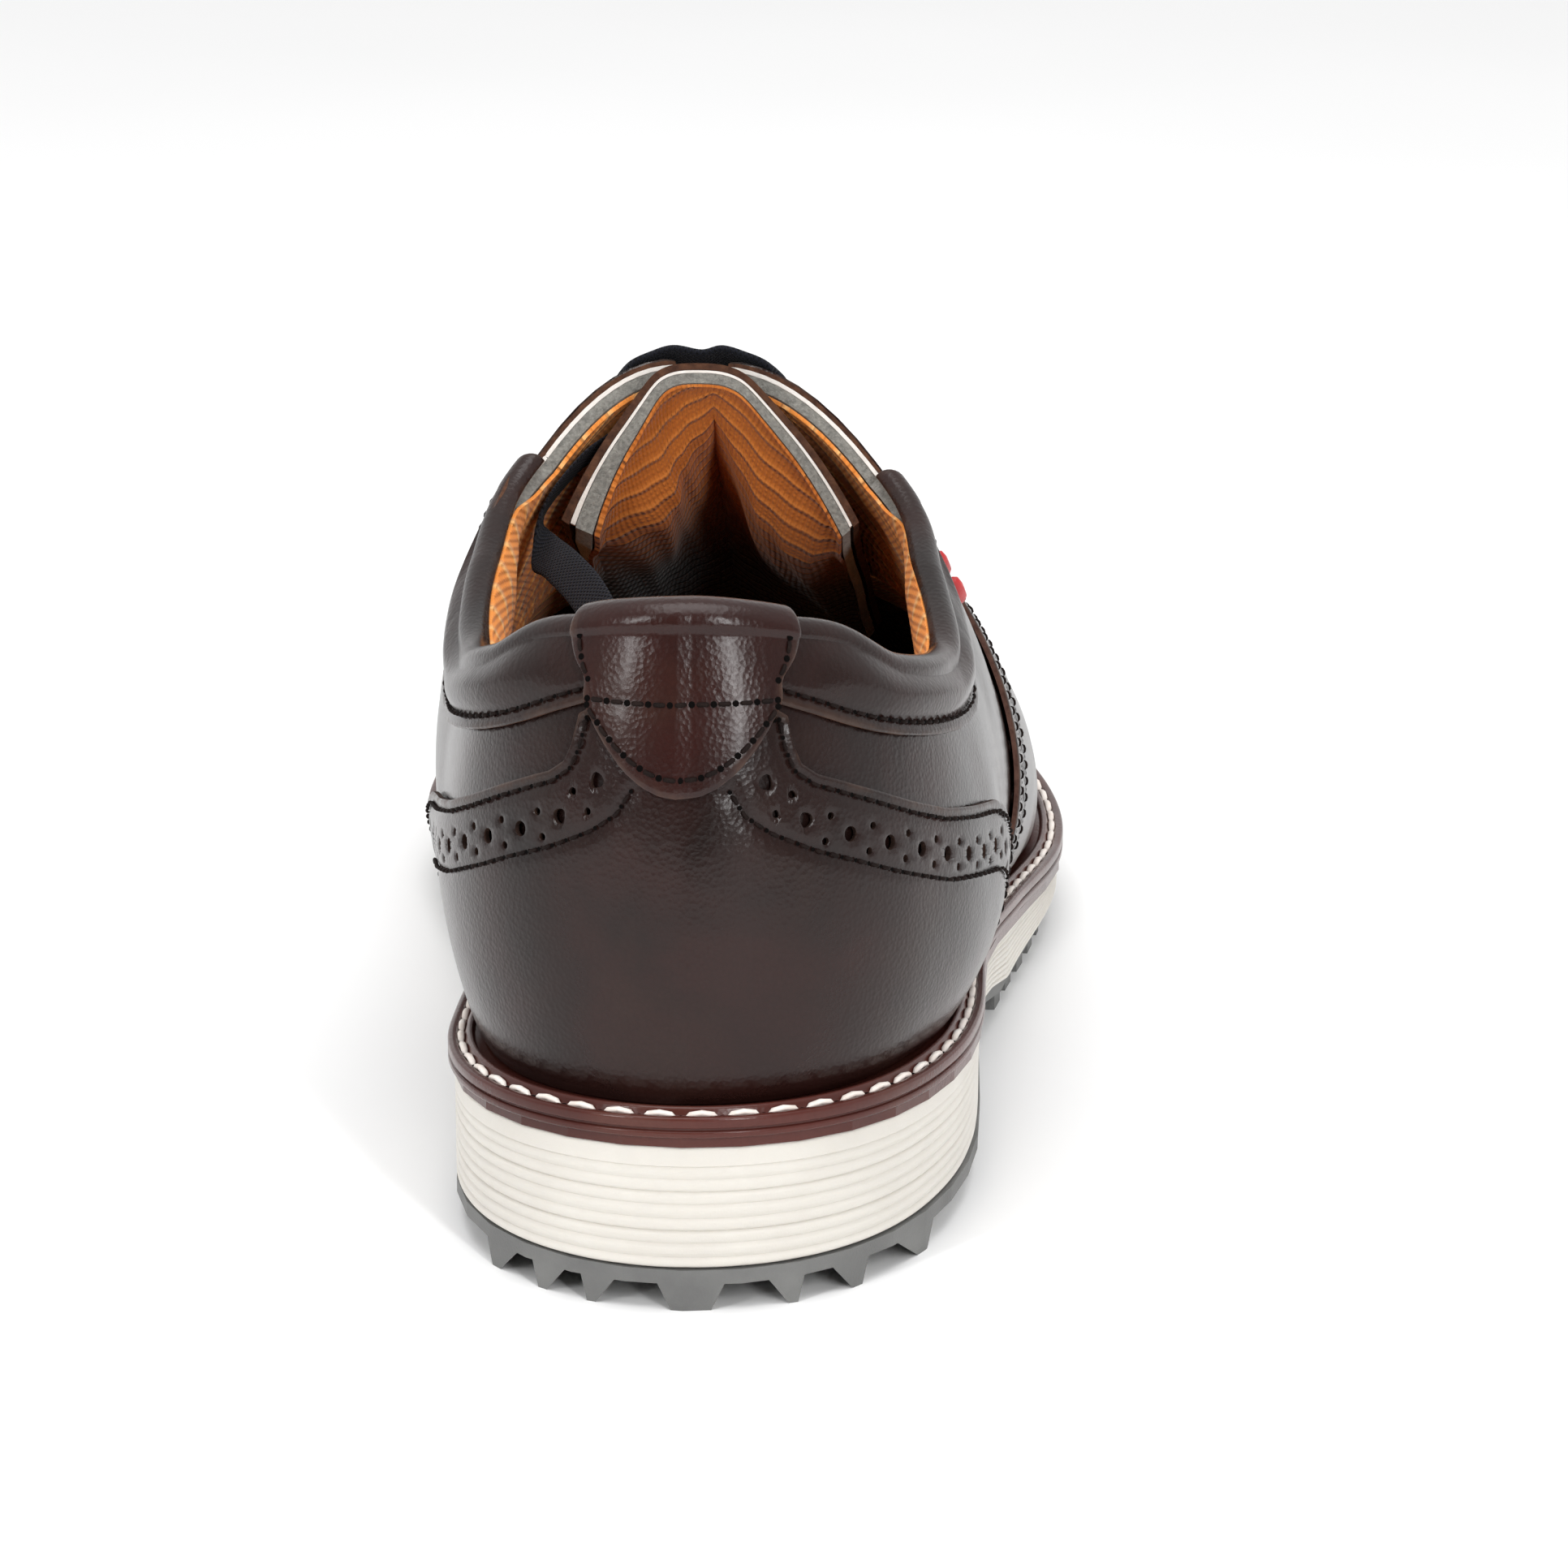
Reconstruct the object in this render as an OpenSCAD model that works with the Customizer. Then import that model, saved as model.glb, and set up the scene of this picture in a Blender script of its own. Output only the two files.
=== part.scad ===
// Right-foot spikeless golf shoe: welted leather upper over a cushioned midsole and a toothed outsole.
// Millimetres. X toward the lateral side, Y toward the toe, Z up. The origin lies on the ground plane
// under the centre of the shoe. Side 1 is lateral, side -1 is medial.

/* [Overall] */
// length over the welt, heel edge to toe edge
shoe_len = 302; // [290:1:314]
// width over the welt at the ball of the foot
shoe_wid = 112; // [106:1:118]
// height of the instep crest above the heel seat
instep_h = 98; // [94:1:102]

/* [Sole] */
// depth of the outsole teeth and lugs
lug_h = 4; // [3:0.5:5]
// thickness of the rubber sheet the lugs stand on
rubber_t = 2.2; // [1.8:0.2:2.6]
// midsole thickness under the heel
heel_mid = 19; // [17:0.2:21]
// midsole thickness under the ball
ball_mid = 4.8; // [4.2:0.2:6]
// height the toe end of the outsole curls off the ground
toe_rise = 8; // [6:0.5:11]
// height of the underside's arch between the heel and the ball
arch_h = 5.5; // [4:0.5:6.5]
// thickness of the slip sole between the midsole and the welt
slip_t = 1.5; // [1.2:0.1:2]
// thickness of the welt strip
welt_t = 3.2; // [2.8:0.1:3.6]
// distance between neighbouring outsole studs
stud_pitch = 15; // [14:1:18]

/* [Upper] */
// thickness of every outer leather panel
leather_t = 1.1; // [0.9:0.1:1.2]
// thickness of the grey padding behind the collar and the facings
pad_t = 2.2; // [1.8:0.1:2.4]
// thickness of the ribbed textile lining
lining_t = 0.7; // [0.5:0.1:0.8]
// thickness of the padding inside the tongue
tongue_pad = 3; // [2.4:0.2:3.6]

/* [Lace] */
// width of the flat lace
lace_w = 7; // [5:0.5:8]
// distance from one row of eyelets to the next
eyelet_pitch = 13; // [12:0.5:14]

/* [Output] */
// sub-part to draw, or all

/* [Hidden] */

L0 = 302;                       // length the shape tables are drawn at
ky = shoe_len / L0;
kz = instep_h / 98;
heel_z = lug_h + rubber_t + heel_mid;
gap = 0.3;                      // cement allowance between curved panels
lap = 0.5;                      // and under the overlays, whose facets differ from the quarter's
HEEL_Q = 60;                    // stations below this wrap round the heel
TOE_Q = 232;                    // stations above this wrap round the toe
GAP_Y = 112;                    // station where the facings meet the lacing gap
THROAT_Y = 178;                 // station of the throat seam
pitch = 3.2;                    // the upper leans toe-down over the wedge of the sole, degrees

// ---- shape tables: [station, value] ----
CENTRE = [[0, -1.2], [30, -0.8], [60, 0.8], [90, 0.8], [110, 0], [150, -2], [190, -3.6], [250, -8], [302, -11]];
HALF_LAT = [[0, 38.2], [30, 38.5], [60, 40.2], [90, 40.3], [110, 41.5], [140, 47.2], [180, 55.2], [210, 56.2],
    [250, 52.5], [302, 49]];
HALF_MED = [[0, 38.2], [30, 38.5], [60, 40.2], [90, 39.6], [110, 39.7], [140, 44.8], [180, 52.8], [207, 55.6],
    [250, 52.5], [302, 49]];
SEAM_INSET = [[0, 5.8], [60, 5.8], [85, 7.4], [125, 7.4], [150, 6.5], [200, 6], [302, 6]];
SPINE_X = [[0, 0.4], [50, 0.4], [80, -2], [105, -5], [150, -6], [200, -6], [250, -8], [302, -11]];
SPINE_Z = [[0, 97], [30, 91], [55, 87], [80, 92], [95, 98], [105, 96.5], [112, 92], [125, 83],
    [140, 73.5], [160, 60.5], [180, 50], [200, 43], [220, 39], [250, 36], [302, 33]];
ROUND_LAT = [[0, 3.2], [30, 3], [55, 2.6], [80, 2.2], [105, 2], [150, 2.1], [200, 2.3], [302, 2.5]];
ROUND_MED = [[0, 3.2], [30, 3.1], [55, 3], [80, 3], [105, 2.6], [150, 2.3], [200, 2.3], [302, 2.5]];
BULGE_LAT = [[0, 4], [30, 6.2], [55, 8.6], [80, 12], [105, 13.4], [140, 10], [165, 5], [190, 1.6],
    [240, 1.5], [302, 2]];
BULGE_MED = [[0, 4], [30, 6], [55, 9.2], [80, 15], [105, 16.4], [140, 9.6], [180, 5], [240, 4],
    [302, 3]];
TOP_LAT = [[0, 68.8], [10, 67.8], [18, 65.5], [30, 59], [55, 54.5], [65, 56.5], [90, 66.5], [104, 75.5]];
TOP_MED = [[0, 68.8], [10, 67.8], [18, 65.5], [30, 59.5], [55, 55], [80, 62.5], [95, 71], [104, 77.5]];
MID_T = [[0, 1], [60, 0.77], [90, 0.635], [110, 0.52], [140, 0.275], [165, 0.09], [185, 0], [302, 0]];
ARCH = [[0, 0], [60, 0], [75, 0.15], [90, 0.75], [105, 1], [120, 0.6], [135, 0], [302, 0]];
SHEET_INSET = [[0, 1], [70, 1], [130, 2.6], [302, 2.6]];
TOE_CURL = [[0, 0], [200, 0], [212, 0.032], [222, 0.095], [232, 0.19], [302, 1]];
PROFILE_Y = [0, 60, 75, 90, 105, 120, 135, 150, 165, 180, 200, 212, 222, 232, 302];
FOOTBED_INSET = [[0, 13.4], [60, 13.4], [90, 15.2], [150, 14.8], [185, 12.4], [210, 11], [302, 11.8]];

// ---- curve helpers ----
function slope(t, i) = let (a = max(i - 1, 0), b = min(i + 1, len(t) - 1))
    (t[b][1] - t[a][1]) / (t[b][0] - t[a][0]);
function cr(t, x) = x <= t[0][0] ? t[0][1] : x >= t[len(t) - 1][0] ? t[len(t) - 1][1] :
    let (k = max([for (i = [0:len(t) - 2]) if (t[i][0] <= x) i]), h = t[k + 1][0] - t[k][0],
        u = (x - t[k][0]) / h, m0 = slope(t, k) * h, m1 = slope(t, k + 1) * h)
    (2 * u^3 - 3 * u^2 + 1) * t[k][1] + (u^3 - 2 * u^2 + u) * m0
        + (3 * u^2 - 2 * u^3) * t[k + 1][1] + (u^3 - u^2) * m1;
function mix(a, b, t) = a + (b - a) * t;
function clamp(x) = min(1, max(0, x));
function inset(i, y) = is_num(i) ? i : cr(i, y);
function steps(a, b, n) = [for (k = [0:n]) mix(a, b, k / n)];

// ---- sole lines ----
function curl(y) = toe_rise * lookup(y, TOE_CURL);
function under(y) = curl(y) + arch_h * lookup(y, ARCH);
function mid_top(y) = lug_h + rubber_t + mix(ball_mid, heel_mid, cr(MID_T, y)) + curl(y);
MID_TOP = [for (y = PROFILE_Y) [y, mid_top(y)]];
sole_z = function (y) lookup(y, MID_TOP);
seat_z = function (y) sole_z(y) + slip_t + welt_t + 0.2;     // plane the upper stands on

// ---- outline ----
function end_round(q) = q >= 1 ? 1 : q <= 0 ? 0 : sqrt(1 - (1 - q)^2.3);
function side_x(s, y, i) = cr(CENTRE, y) + s * (cr(s > 0 ? HALF_LAT : HALF_MED, y) - i)
    * end_round((y - i) / (50 - i)) * end_round((L0 - i - y) / (110 - i));
function station_y(q, i) = q < HEEL_Q ? i + (HEEL_Q - i) * (1 - cos(1.5 * q))
    : q <= TOE_Q ? q : TOE_Q + (L0 - TOE_Q - i) * sin(90 * (q - TOE_Q) / (L0 - TOE_Q));
PLAN_Q = concat(steps(0, HEEL_Q, 8), [75, 90, 105, 120, 135, 150, 165, 180, 200, 212, 222],
    steps(TOE_Q, L0, 9));
function plan(i) = let (n = len(PLAN_Q) - 1,
        ys = [for (q = PLAN_Q) station_y(q, inset(i, q < 150 ? 0 : L0))])
    concat([for (y = ys) [side_x(1, y, inset(i, y)), y]],
        [for (k = [n - 1:-1:1]) [side_x(-1, ys[k], inset(i, ys[k])), ys[k]]]);
welt_x = [for (p = plan(0)) p[0]];
mid_x = -(min(welt_x) + max(welt_x)) / 2;
kx = shoe_wid / (max(welt_x) - min(welt_x));
function place(p) = [(p[0] + mid_x) * kx, (p[1] - L0 / 2) * ky, p[2]];
function place2(p) = [(p[0] + mid_x) * kx, (p[1] - L0 / 2) * ky];

module outline(i) polygon([for (p = plan(i)) place2(p)]);

// a bar across the shoe whose bottom and top follow the functions lo(y) and hi(y)
module profile(lo, hi) rotate([90, 0, 90]) linear_extrude(2 * shoe_wid, center = true)
    polygon([for (p = concat([for (y = PROFILE_Y) [y, lo(y)]],
        [for (k = [len(PROFILE_Y) - 1:-1:0]) [PROFILE_Y[k], hi(PROFILE_Y[k])]]))
        [(p[0] - L0 / 2) * ky, p[1]]]);

module slab(i, lo, hi) intersection() {
    linear_extrude(2 * heel_z) outline(i);
    profile(lo, hi);
}

module ring(i, j, lo, hi) intersection() {
    linear_extrude(2 * heel_z) difference() {
        outline(i);
        outline(j);
    }
    profile(lo, hi);
}

// ---- upper surface ----
// The upper is drawn with the heel seat level, then leaned toe-down onto the sole.
function lean(p) = let (h = p[2] - heel_z)
    [p[0], p[1] * cos(pitch) + h * sin(pitch), heel_z + h * cos(pitch) - p[1] * sin(pitch)];
function last_z(y) = heel_z + (seat_z(y) - heel_z + y * sin(pitch)) / cos(pitch);
function spine_y(y) = y < 15 ? 45 : y < 75 ? 45 + (y - 15)^2 / 120 : y;
function crest_z(y, off) = let (base = last_z(y), end = L0 - 6 - off, q = (y - 200) / (end - 200),
        top = heel_z + slip_t + welt_t + 0.2 + cr(SPINE_Z, y) * kz - off * clamp((y - 80) / 30))
    base + (top - base) * (q <= 0 ? 1 : (1 - min(q, 1)^2.7)^(1 / 2.7));
function roundness(s, y) = cr(s > 0 ? ROUND_LAT : ROUND_MED, y);
// height fraction (0 seat, 1 crest) to section angle fraction, and the same for a distance from the crest
function v_rise(s, y, z) = let (f = clamp((z - last_z(y)) / (crest_z(y, 0) - last_z(y))))
    asin(f^(roundness(s, y) / 2)) / 90;
function v_side(s, y, g) = acos(clamp(g / abs(side_x(s, y, inset(SEAM_INSET, y)) - cr(SPINE_X, spine_y(y))))
    ^(roundness(s, y) / 2)) / 90;
// point of the upper: side, station, section fraction, depth below the outer face
function skin(s, q, v, off) = let (y = station_y(q, inset(SEAM_INSET, q < 150 ? 0 : L0) + off),
        fx = side_x(s, y, inset(SEAM_INSET, y) + off), ry = spine_y(y), rx = cr(SPINE_X, ry),
        n = 2 / roundness(s, y), f = sin(90 * clamp(v))^n, g = 1 - max(cos(90 * clamp(v)), 0)^n,
        dx = fx - rx, dy = y - ry, r = max(norm([dx, dy]), 0.001),
        b = cr(s > 0 ? BULGE_LAT : BULGE_MED, y) * sin(180 * f^(s > 0 ? 0.6 : 0.75)) * min(1, r / 15))
    lean([fx - dx * g + dx / r * b, y - dy * g + dy / r * b, mix(last_z(y), crest_z(y, off), f)]);

// station and fraction of the top edge of a quarter
function top_v(s, q) = let (y = station_y(q, 5.8), t = s > 0 ? TOP_LAT : TOP_MED,
    z0 = heel_z + slip_t + welt_t)
    q <= 104 ? v_rise(s, y, z0 + cr(t, y) * kz)
    : q < GAP_Y - 1 ? mix(v_rise(s, 104, z0 + cr(t, 104) * kz), v_side(s, GAP_Y, 4.3), (q - 104) / 7)
    : v_side(s, y, max(1.6, 4.3 - 2.7 * (q - GAP_Y) / 66));
function rise_v(s, q, z) = v_rise(s, station_y(q, 5.8), z);

// ---- shells ----
// closed shell between two point grids of the same size; turned flips the facing, nose closes the last column
module shell(o, i, turned = false, nose = false) {
    a = len(o);
    b = len(o[0]);
    n = a * b;
    points = [for (g = [o, i], row = g, p = row) place(p)];
    // two triangles across the shorter diagonal
    function quad(p, q, r, t) = norm(points[p] - points[r]) <= norm(points[q] - points[t])
        ? (turned ? [[p, q, r], [p, r, t]] : [[p, r, q], [p, t, r]])
        : (turned ? [[q, r, t], [q, t, p]] : [[q, t, r], [q, p, t]]);
    outer = [for (j = [0:a - 2], k = [0:b - 2])
        each quad(j * b + k, (j + 1) * b + k, (j + 1) * b + k + 1, j * b + k + 1)];
    inner = [for (j = [0:a - 2], k = [0:b - 2])
        each quad(n + j * b + k, n + j * b + k + 1, n + (j + 1) * b + k + 1, n + (j + 1) * b + k)];
    low = [for (j = [0:a - 2]) each quad(j * b, n + j * b, n + (j + 1) * b, (j + 1) * b)];
    high = [for (j = [0:a - 2]) each quad(j * b + b - 1, (j + 1) * b + b - 1, n + (j + 1) * b + b - 1,
        n + j * b + b - 1)];
    rear = [for (k = [0:b - 2]) each quad(k, k + 1, n + k + 1, n + k)];
    e = (a - 1) * b;
    front = nose
        ? concat([for (k = [1:b - 2]) turned ? [e, e + k + 1, e + k] : [e, e + k, e + k + 1]],
            [for (k = [1:b - 2])
                turned ? [n + e, n + e + k, n + e + k + 1] : [n + e, n + e + k + 1, n + e + k]],
            quad(e, n + e, n + e + b - 1, e + b - 1))
        : [for (k = [0:b - 2]) each quad(e + k, n + e + k, n + e + k + 1, e + k + 1)];
    polyhedron(points, concat(outer, inner, low, high, rear, front));
}

// panel on one side between a bottom and a top edge, each a list of [station, fraction]
module panel(s, bot, top, rows, o1, o2) {
    function grid(off) = [for (k = [0:len(bot) - 1]) [for (t = [0:rows])
        let (p = mix(bot[k], top[k], t / rows)) skin(s, p[0], p[1], off)]];
    shell(grid(o1), grid(o2), s < 0);
}

// panel running round the heel from the lateral to the medial side; qs rises from the back seam
module wrap(qs, lo, hi, rows, o1, o2) {
    function column(s, q, off) = [for (t = [0:rows]) skin(s, q, mix(lo(s, q), hi(s, q), t / rows), off)];
    function grid(off) = concat([for (k = [len(qs) - 1:-1:0]) column(1, qs[k], off)],
        [for (k = [1:len(qs) - 1]) column(-1, qs[k], off)]);
    shell(grid(o1), grid(o2), true);
}

// panel across the forefoot from feather to feather; rear(v) is the station of its rear edge
ACROSS = [0, 0.13, 0.27, 0.41, 0.54, 0.66, 0.76, 0.88, 1];
module hood(vs, rear, n, o1, o2) {
    m = len(vs) - 1;
    function across(t, off) = concat([for (v = vs) skin(1, mix(rear(v), 294, t), v, off)],
        [for (k = [m - 1:-1:0]) skin(-1, mix(rear(vs[k]), 294, t), vs[k], off)]);
    function grid(off) = [for (k = [0:n]) across(k / n, off)];
    shell(grid(o1), grid(o2), false, true);
}

// ---- layer depths, outermost first ----
d_leather = [0, leather_t];
d_vamp = [-0.2, leather_t - 0.2];
d_quarter = [leather_t + lap, 2 * leather_t + lap];
d_pad = [d_quarter[1] + gap, d_quarter[1] + gap + pad_t];
d_lining = [d_pad[1] + gap, d_pad[1] + gap + lining_t];
d_run = [d_lining[1] + gap, d_lining[1] + gap + 1];
d_tongue = [d_run[1] + 0.5, d_run[1] + 0.5 + leather_t];
d_foam = [d_tongue[1] + 0.12, d_tongue[1] + 0.12 + tongue_pad];
d_tlining = [d_foam[1] + 0.12, d_foam[1] + 0.12 + lining_t];
d_puff = [leather_t + 0.7, 2 * leather_t + 0.6];
d_counter = [d_pad[0] + 0.5, d_pad[0] + 1.9];

// ---- sole pieces ----
lug_bottom = function (y) under(y);
rubber_bottom = function (y) under(y) + lug_h;
rubber_top = function (y) under(y) + lug_h + rubber_t;

// saw-tooth comb across the back of the heel
module heel_teeth() rotate([90, 0, 0]) linear_extrude(50 * ky, center = true) {
    c = mid_x * kx;
    polygon([[c - 5.1, lug_h + 0.5], [c - 2.9, 0], [c + 2.9, 0], [c + 5.1, lug_h + 0.5]]);
    for (s = [1, -1], k = [0:2]) let (x = 10.8 + (s > 0 ? 9 : 7.5) * k)
        polygon([[c + s * x, lug_h + 0.5], [c + s * (x + 3.2), 0], [c + s * (x + 4.5), 0],
            [c + s * (x + 5.5), lug_h + 0.5]]);
}

module studs(y0, y1) for (k = [0:floor((y1 - y0) / (stud_pitch * 0.8))], j = [-4:4])
    let (y = y0 + k * stud_pitch * 0.8, x = cr(CENTRE, y) + (j + (k % 2) / 2) * stud_pitch)
        if (x < side_x(1, y, 17) && x > side_x(-1, y, 17))
            translate(place([x, y, curl(y) + 0.3])) linear_extrude(lug_h) circle(r = 4.2, $fn = 6);

module outsole() color([0.5, 0.5, 0.49]) {
    slab(SHEET_INSET, rubber_bottom, rubber_top);
    intersection() {
        translate([0, (25 - L0 / 2) * ky, 0]) heel_teeth();
        ring(1, 12, lug_bottom, rubber_top);
    }
    for (y = [140:10:280])
        intersection() {
            translate(place([-mid_x, y, curl(y) + lug_h / 2 + 0.25]))
                cube([2 * shoe_wid, 5, lug_h + 0.5], center = true);
            ring(4, 12, lug_bottom, rubber_top);
        }
    studs(22, 66);
    studs(142, 276);
}

module midsole() color([0.94, 0.93, 0.9]) slab(1, rubber_top, sole_z);

module slip_sole() color([0.3, 0.17, 0.16])
    slab(0.6, sole_z, function (y) sole_z(y) + slip_t);

module welt() color([0.34, 0.2, 0.19]) {
    bottom = function (y) sole_z(y) + slip_t;
    ring(0, 1.3, bottom, function (y) sole_z(y) + slip_t + welt_t);
    ring(1.3, 2.7, bottom, function (y) sole_z(y) + slip_t + welt_t - 0.6);
    ring(2.7, 8.2, bottom, function (y) sole_z(y) + slip_t + welt_t);
    ring(2.7, 3.8, bottom, function (y) sole_z(y) + slip_t + welt_t + 0.8);
}

// lockstitches lying in the groove of the welt
function run(t, k) = k == 0 ? 0 : run(t, k - 1) + norm(t[k] - t[k - 1]);
module welt_thread() color([0.92, 0.88, 0.83]) {
    stitch = [4, 0.6, 0.7];
    track = [for (s = [1, -1]) [for (q = steps(3, 299, 74)) let (y = station_y(q, 2)) [side_x(s, y, 2), y]]];
    for (t = track) {
        arc = [for (k = [0:len(t) - 1]) run(t, k)];
        for (d = [2:6.1:arc[len(arc) - 1]])
            let (k = max([for (j = [0:len(arc) - 2]) if (arc[j] <= d) j]),
                p = mix(t[k], t[k + 1], (d - arc[k]) / (arc[k + 1] - arc[k])), u = t[k + 1] - t[k])
                translate(place([p[0], p[1], sole_z(p[1]) + slip_t + welt_t + 0.15]))
                    rotate(atan2(u[1] * ky, u[0] * kx)) cube(stitch, center = true);
    }
}

module insole_board() color([0.72, 0.6, 0.45])
    slab(8.5, function (y) sole_z(y) + slip_t + 1.6, function (y) sole_z(y) + slip_t + welt_t);

module shank_outline(grow) {
    c = place([0.6, 85, 0]);
    hull() for (y = [-44, 44]) translate([c[0], c[1] + y]) circle(r = 7 + grow, $fn = 24);
}

module shank() color([0.6, 0.62, 0.65]) intersection() {
    profile(function (y) sole_z(y) + slip_t + 0.1, function (y) sole_z(y) + slip_t + 1.4);
    linear_extrude(2 * heel_z) shank_outline(0);
}

module bottom_filler() color([0.62, 0.46, 0.3]) difference() {
    slab(8.5, function (y) sole_z(y) + slip_t, function (y) sole_z(y) + slip_t + 1.5);
    linear_extrude(2 * heel_z) shank_outline(0.4);
}

footbed_t = 4;
module footbed_foam() color([0.13, 0.14, 0.18]) {
    slab(FOOTBED_INSET, function (y) seat_z(y) + 0.15, function (y) seat_z(y) + footbed_t);
}

module footbed_cover() color([0.08, 0.08, 0.1])
    slab(FOOTBED_INSET, function (y) seat_z(y) + footbed_t, function (y) seat_z(y) + footbed_t + 0.8);

// ---- upper pieces ----
HEEL_STEPS = steps(0, HEEL_Q, 8);
top_q = concat(HEEL_STEPS, [69, 78, 87, 95, 101, 104, 108, 112, 120, 130, 140, 150, 160, 169, THROAT_Y]);
bot_q = concat(HEEL_STEPS, [68, 76, 84, 91, 96, 99.5, 102, 104.5, 107, 109.5, 111.5, 113.5, 115, 116.5, 118]);

module quarter(s) panel(s, [for (q = bot_q) [q, 0]], [for (q = top_q) [q, top_v(s, q)]], 6,
    d_quarter[0], d_quarter[1]);
module lining(s) panel(s, [for (q = bot_q) [q, 0]], [for (q = top_q) [q, top_v(s, q)]], 6,
    d_lining[0], d_lining[1]);
module padding(s) panel(s,
    [for (k = [0:len(bot_q) - 1]) mix([bot_q[k], 0], [top_q[k], top_v(s, top_q[k])], 0.5)],
    [for (q = top_q) [q, top_v(s, q)]], 3, d_pad[0], d_pad[1]);

// holes through every facing layer at the eyelets
rows = [for (k = [0:4]) 114 + k * eyelet_pitch];
eyelet_g = 11.5;                // eyelet distance from the crest
function eyelet_v(s, q) = v_side(s, q, eyelet_g);
function unit(p) = p / norm(p);
function along(s, q, v) = unit(skin(s, q + 1, v, d_quarter[0]) - skin(s, q - 1, v, d_quarter[0]));
function upward(s, q, v) = unit(skin(s, q, v + 0.01, d_quarter[0]) - skin(s, q, v - 0.01, d_quarter[0]));
function outward(s, q, v) = unit(cross(along(s, q, v), upward(s, q, v)) * s);
module at_eyelets(s) for (q = rows) {
    v = eyelet_v(s, q);
    n = outward(s, q, v);
    translate(place(skin(s, q, v, d_quarter[0]))) rotate([0, acos(n[2]), atan2(n[1], n[0])]) children();
}
module holes(s) at_eyelets(s) translate([0, 0, -6]) cylinder(h = 8, r = 2.9, $fn = 8);

module quarter_lateral() color([0.29, 0.21, 0.19]) difference() {
    quarter(1);
    holes(1);
}
module quarter_medial() color([0.29, 0.21, 0.19]) difference() {
    quarter(-1);
    holes(-1);
}
module padding_lateral() color([0.55, 0.54, 0.51]) difference() {
    padding(1);
    holes(1);
}
module padding_medial() color([0.55, 0.54, 0.51]) difference() {
    padding(-1);
    holes(-1);
}
module lining_lateral() color([0.74, 0.43, 0.18]) difference() {
    lining(1);
    holes(1);
}
module lining_medial() color([0.74, 0.43, 0.18]) difference() {
    lining(-1);
    holes(-1);
}

// collar panel: up the quarter, then rolled over the padding
ROLL = [30, 70, 110, 145];
roll_r = (d_lining[0] - 0.2) / 2;
module collar(s) {
    tq = [9, 15, 22.5, 30, 37.5, 45, 52.5, 60, 68, 76, 84, 91, 97, 102];
    bq = [9, 14, 19, 24, 29, 34, 39, 44, 49, 54, 59, 63, 67, 72];
    bz = [64, 62, 59.5, 57.2, 55.4, 54, 52.6, 51, 49.2, 47.4, 45.8, 45, 46.5, 52];
    z0 = heel_z;
    function rise(k, off) = [for (t = [0:3]) let (p = mix([bq[k], rise_v(s, bq[k], z0 + bz[k] * kz)],
        [tq[k], top_v(s, tq[k])], t / 3)) skin(s, p[0], p[1], off)];
    function over(k, r) = let (c = skin(s, tq[k], top_v(s, tq[k]), roll_r),
            e = skin(s, tq[k], top_v(s, tq[k]), roll_r - 1) - c, h = [e[0], e[1]] / norm([e[0], e[1]]))
        [for (a = ROLL) [c[0] + h[0] * r * cos(a), c[1] + h[1] * r * cos(a), c[2] + r * sin(a) + 0.3]];
    function grid(off) = [for (k = [0:len(tq) - 1]) concat(rise(k, off), over(k, roll_r - off))];
    shell(grid(d_leather[0]), grid(d_leather[1]), s < 0);
}
module collar_lateral() color([0.3, 0.22, 0.2]) collar(1);
module collar_medial() color([0.3, 0.22, 0.2]) collar(-1);

// heel cover with its swan-neck top line
FOX_Q = [0, 7.5, 15, 22.5, 30, 37.5, 45, 52.5, 60, 67, 74, 80];
FOX_TOP = [[0, 56], [10, 57.5], [14, 58], [21, 52.5], [30, 48.5], [40, 44], [50, 40], [60, 37], [67, 35],
    [74, 30], [80, 21]];
module heel_foxing() color([0.28, 0.2, 0.18])
    wrap(FOX_Q, function (s, q) 0, function (s, q) rise_v(s, q, heel_z + cr(FOX_TOP, q) * kz), 4,
        d_leather[0], d_leather[1]);

// back tab over the collar, rolled into the shoe at the top
TAB_BOTTOM = [[0, 51], [5, 51.5], [9, 55], [12, 60], [14, 64], [16, 70]];
module heel_tab_shell() {
    q1 = [16, 13.5, 10.5, 7, 3.5];
    side = -1.45;
    function column(s, q, off) = let (v0 = rise_v(s, q * 0.86, heel_z + cr(TAB_BOTTOM, q * 0.93) * kz),
            v1 = top_v(s, q), c = skin(s, q, v1, roll_r), e = skin(s, q, v1, roll_r - 1) - c,
            h = [e[0], e[1]] / norm([e[0], e[1]]), r = roll_r - off)
        concat([for (t = [0:4]) skin(s, mix(q * 0.86, q, t / 4), mix(v0, v1, t / 4), off)],
            [for (a = [30, 65, 100]) [c[0] + h[0] * r * cos(a), c[1] + h[1] * r * cos(a),
                c[2] + r * sin(a) + 0.3]]);
    function grid(off) = concat([for (q = q1) column(1, q, off)], [column(1, 0, off)],
        [for (k = [4:-1:0]) column(-1, q1[k], off)]);
    shell(grid(side), grid(side + leather_t), true);
}
module heel_tab() color([0.33, 0.22, 0.2]) heel_tab_shell();

module heel_counter() color([0.78, 0.76, 0.7])
    wrap(HEEL_STEPS, function (s, q) 0, function (s, q) 0.49 * top_v(s, q), 3, d_counter[0], d_counter[1]);

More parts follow.
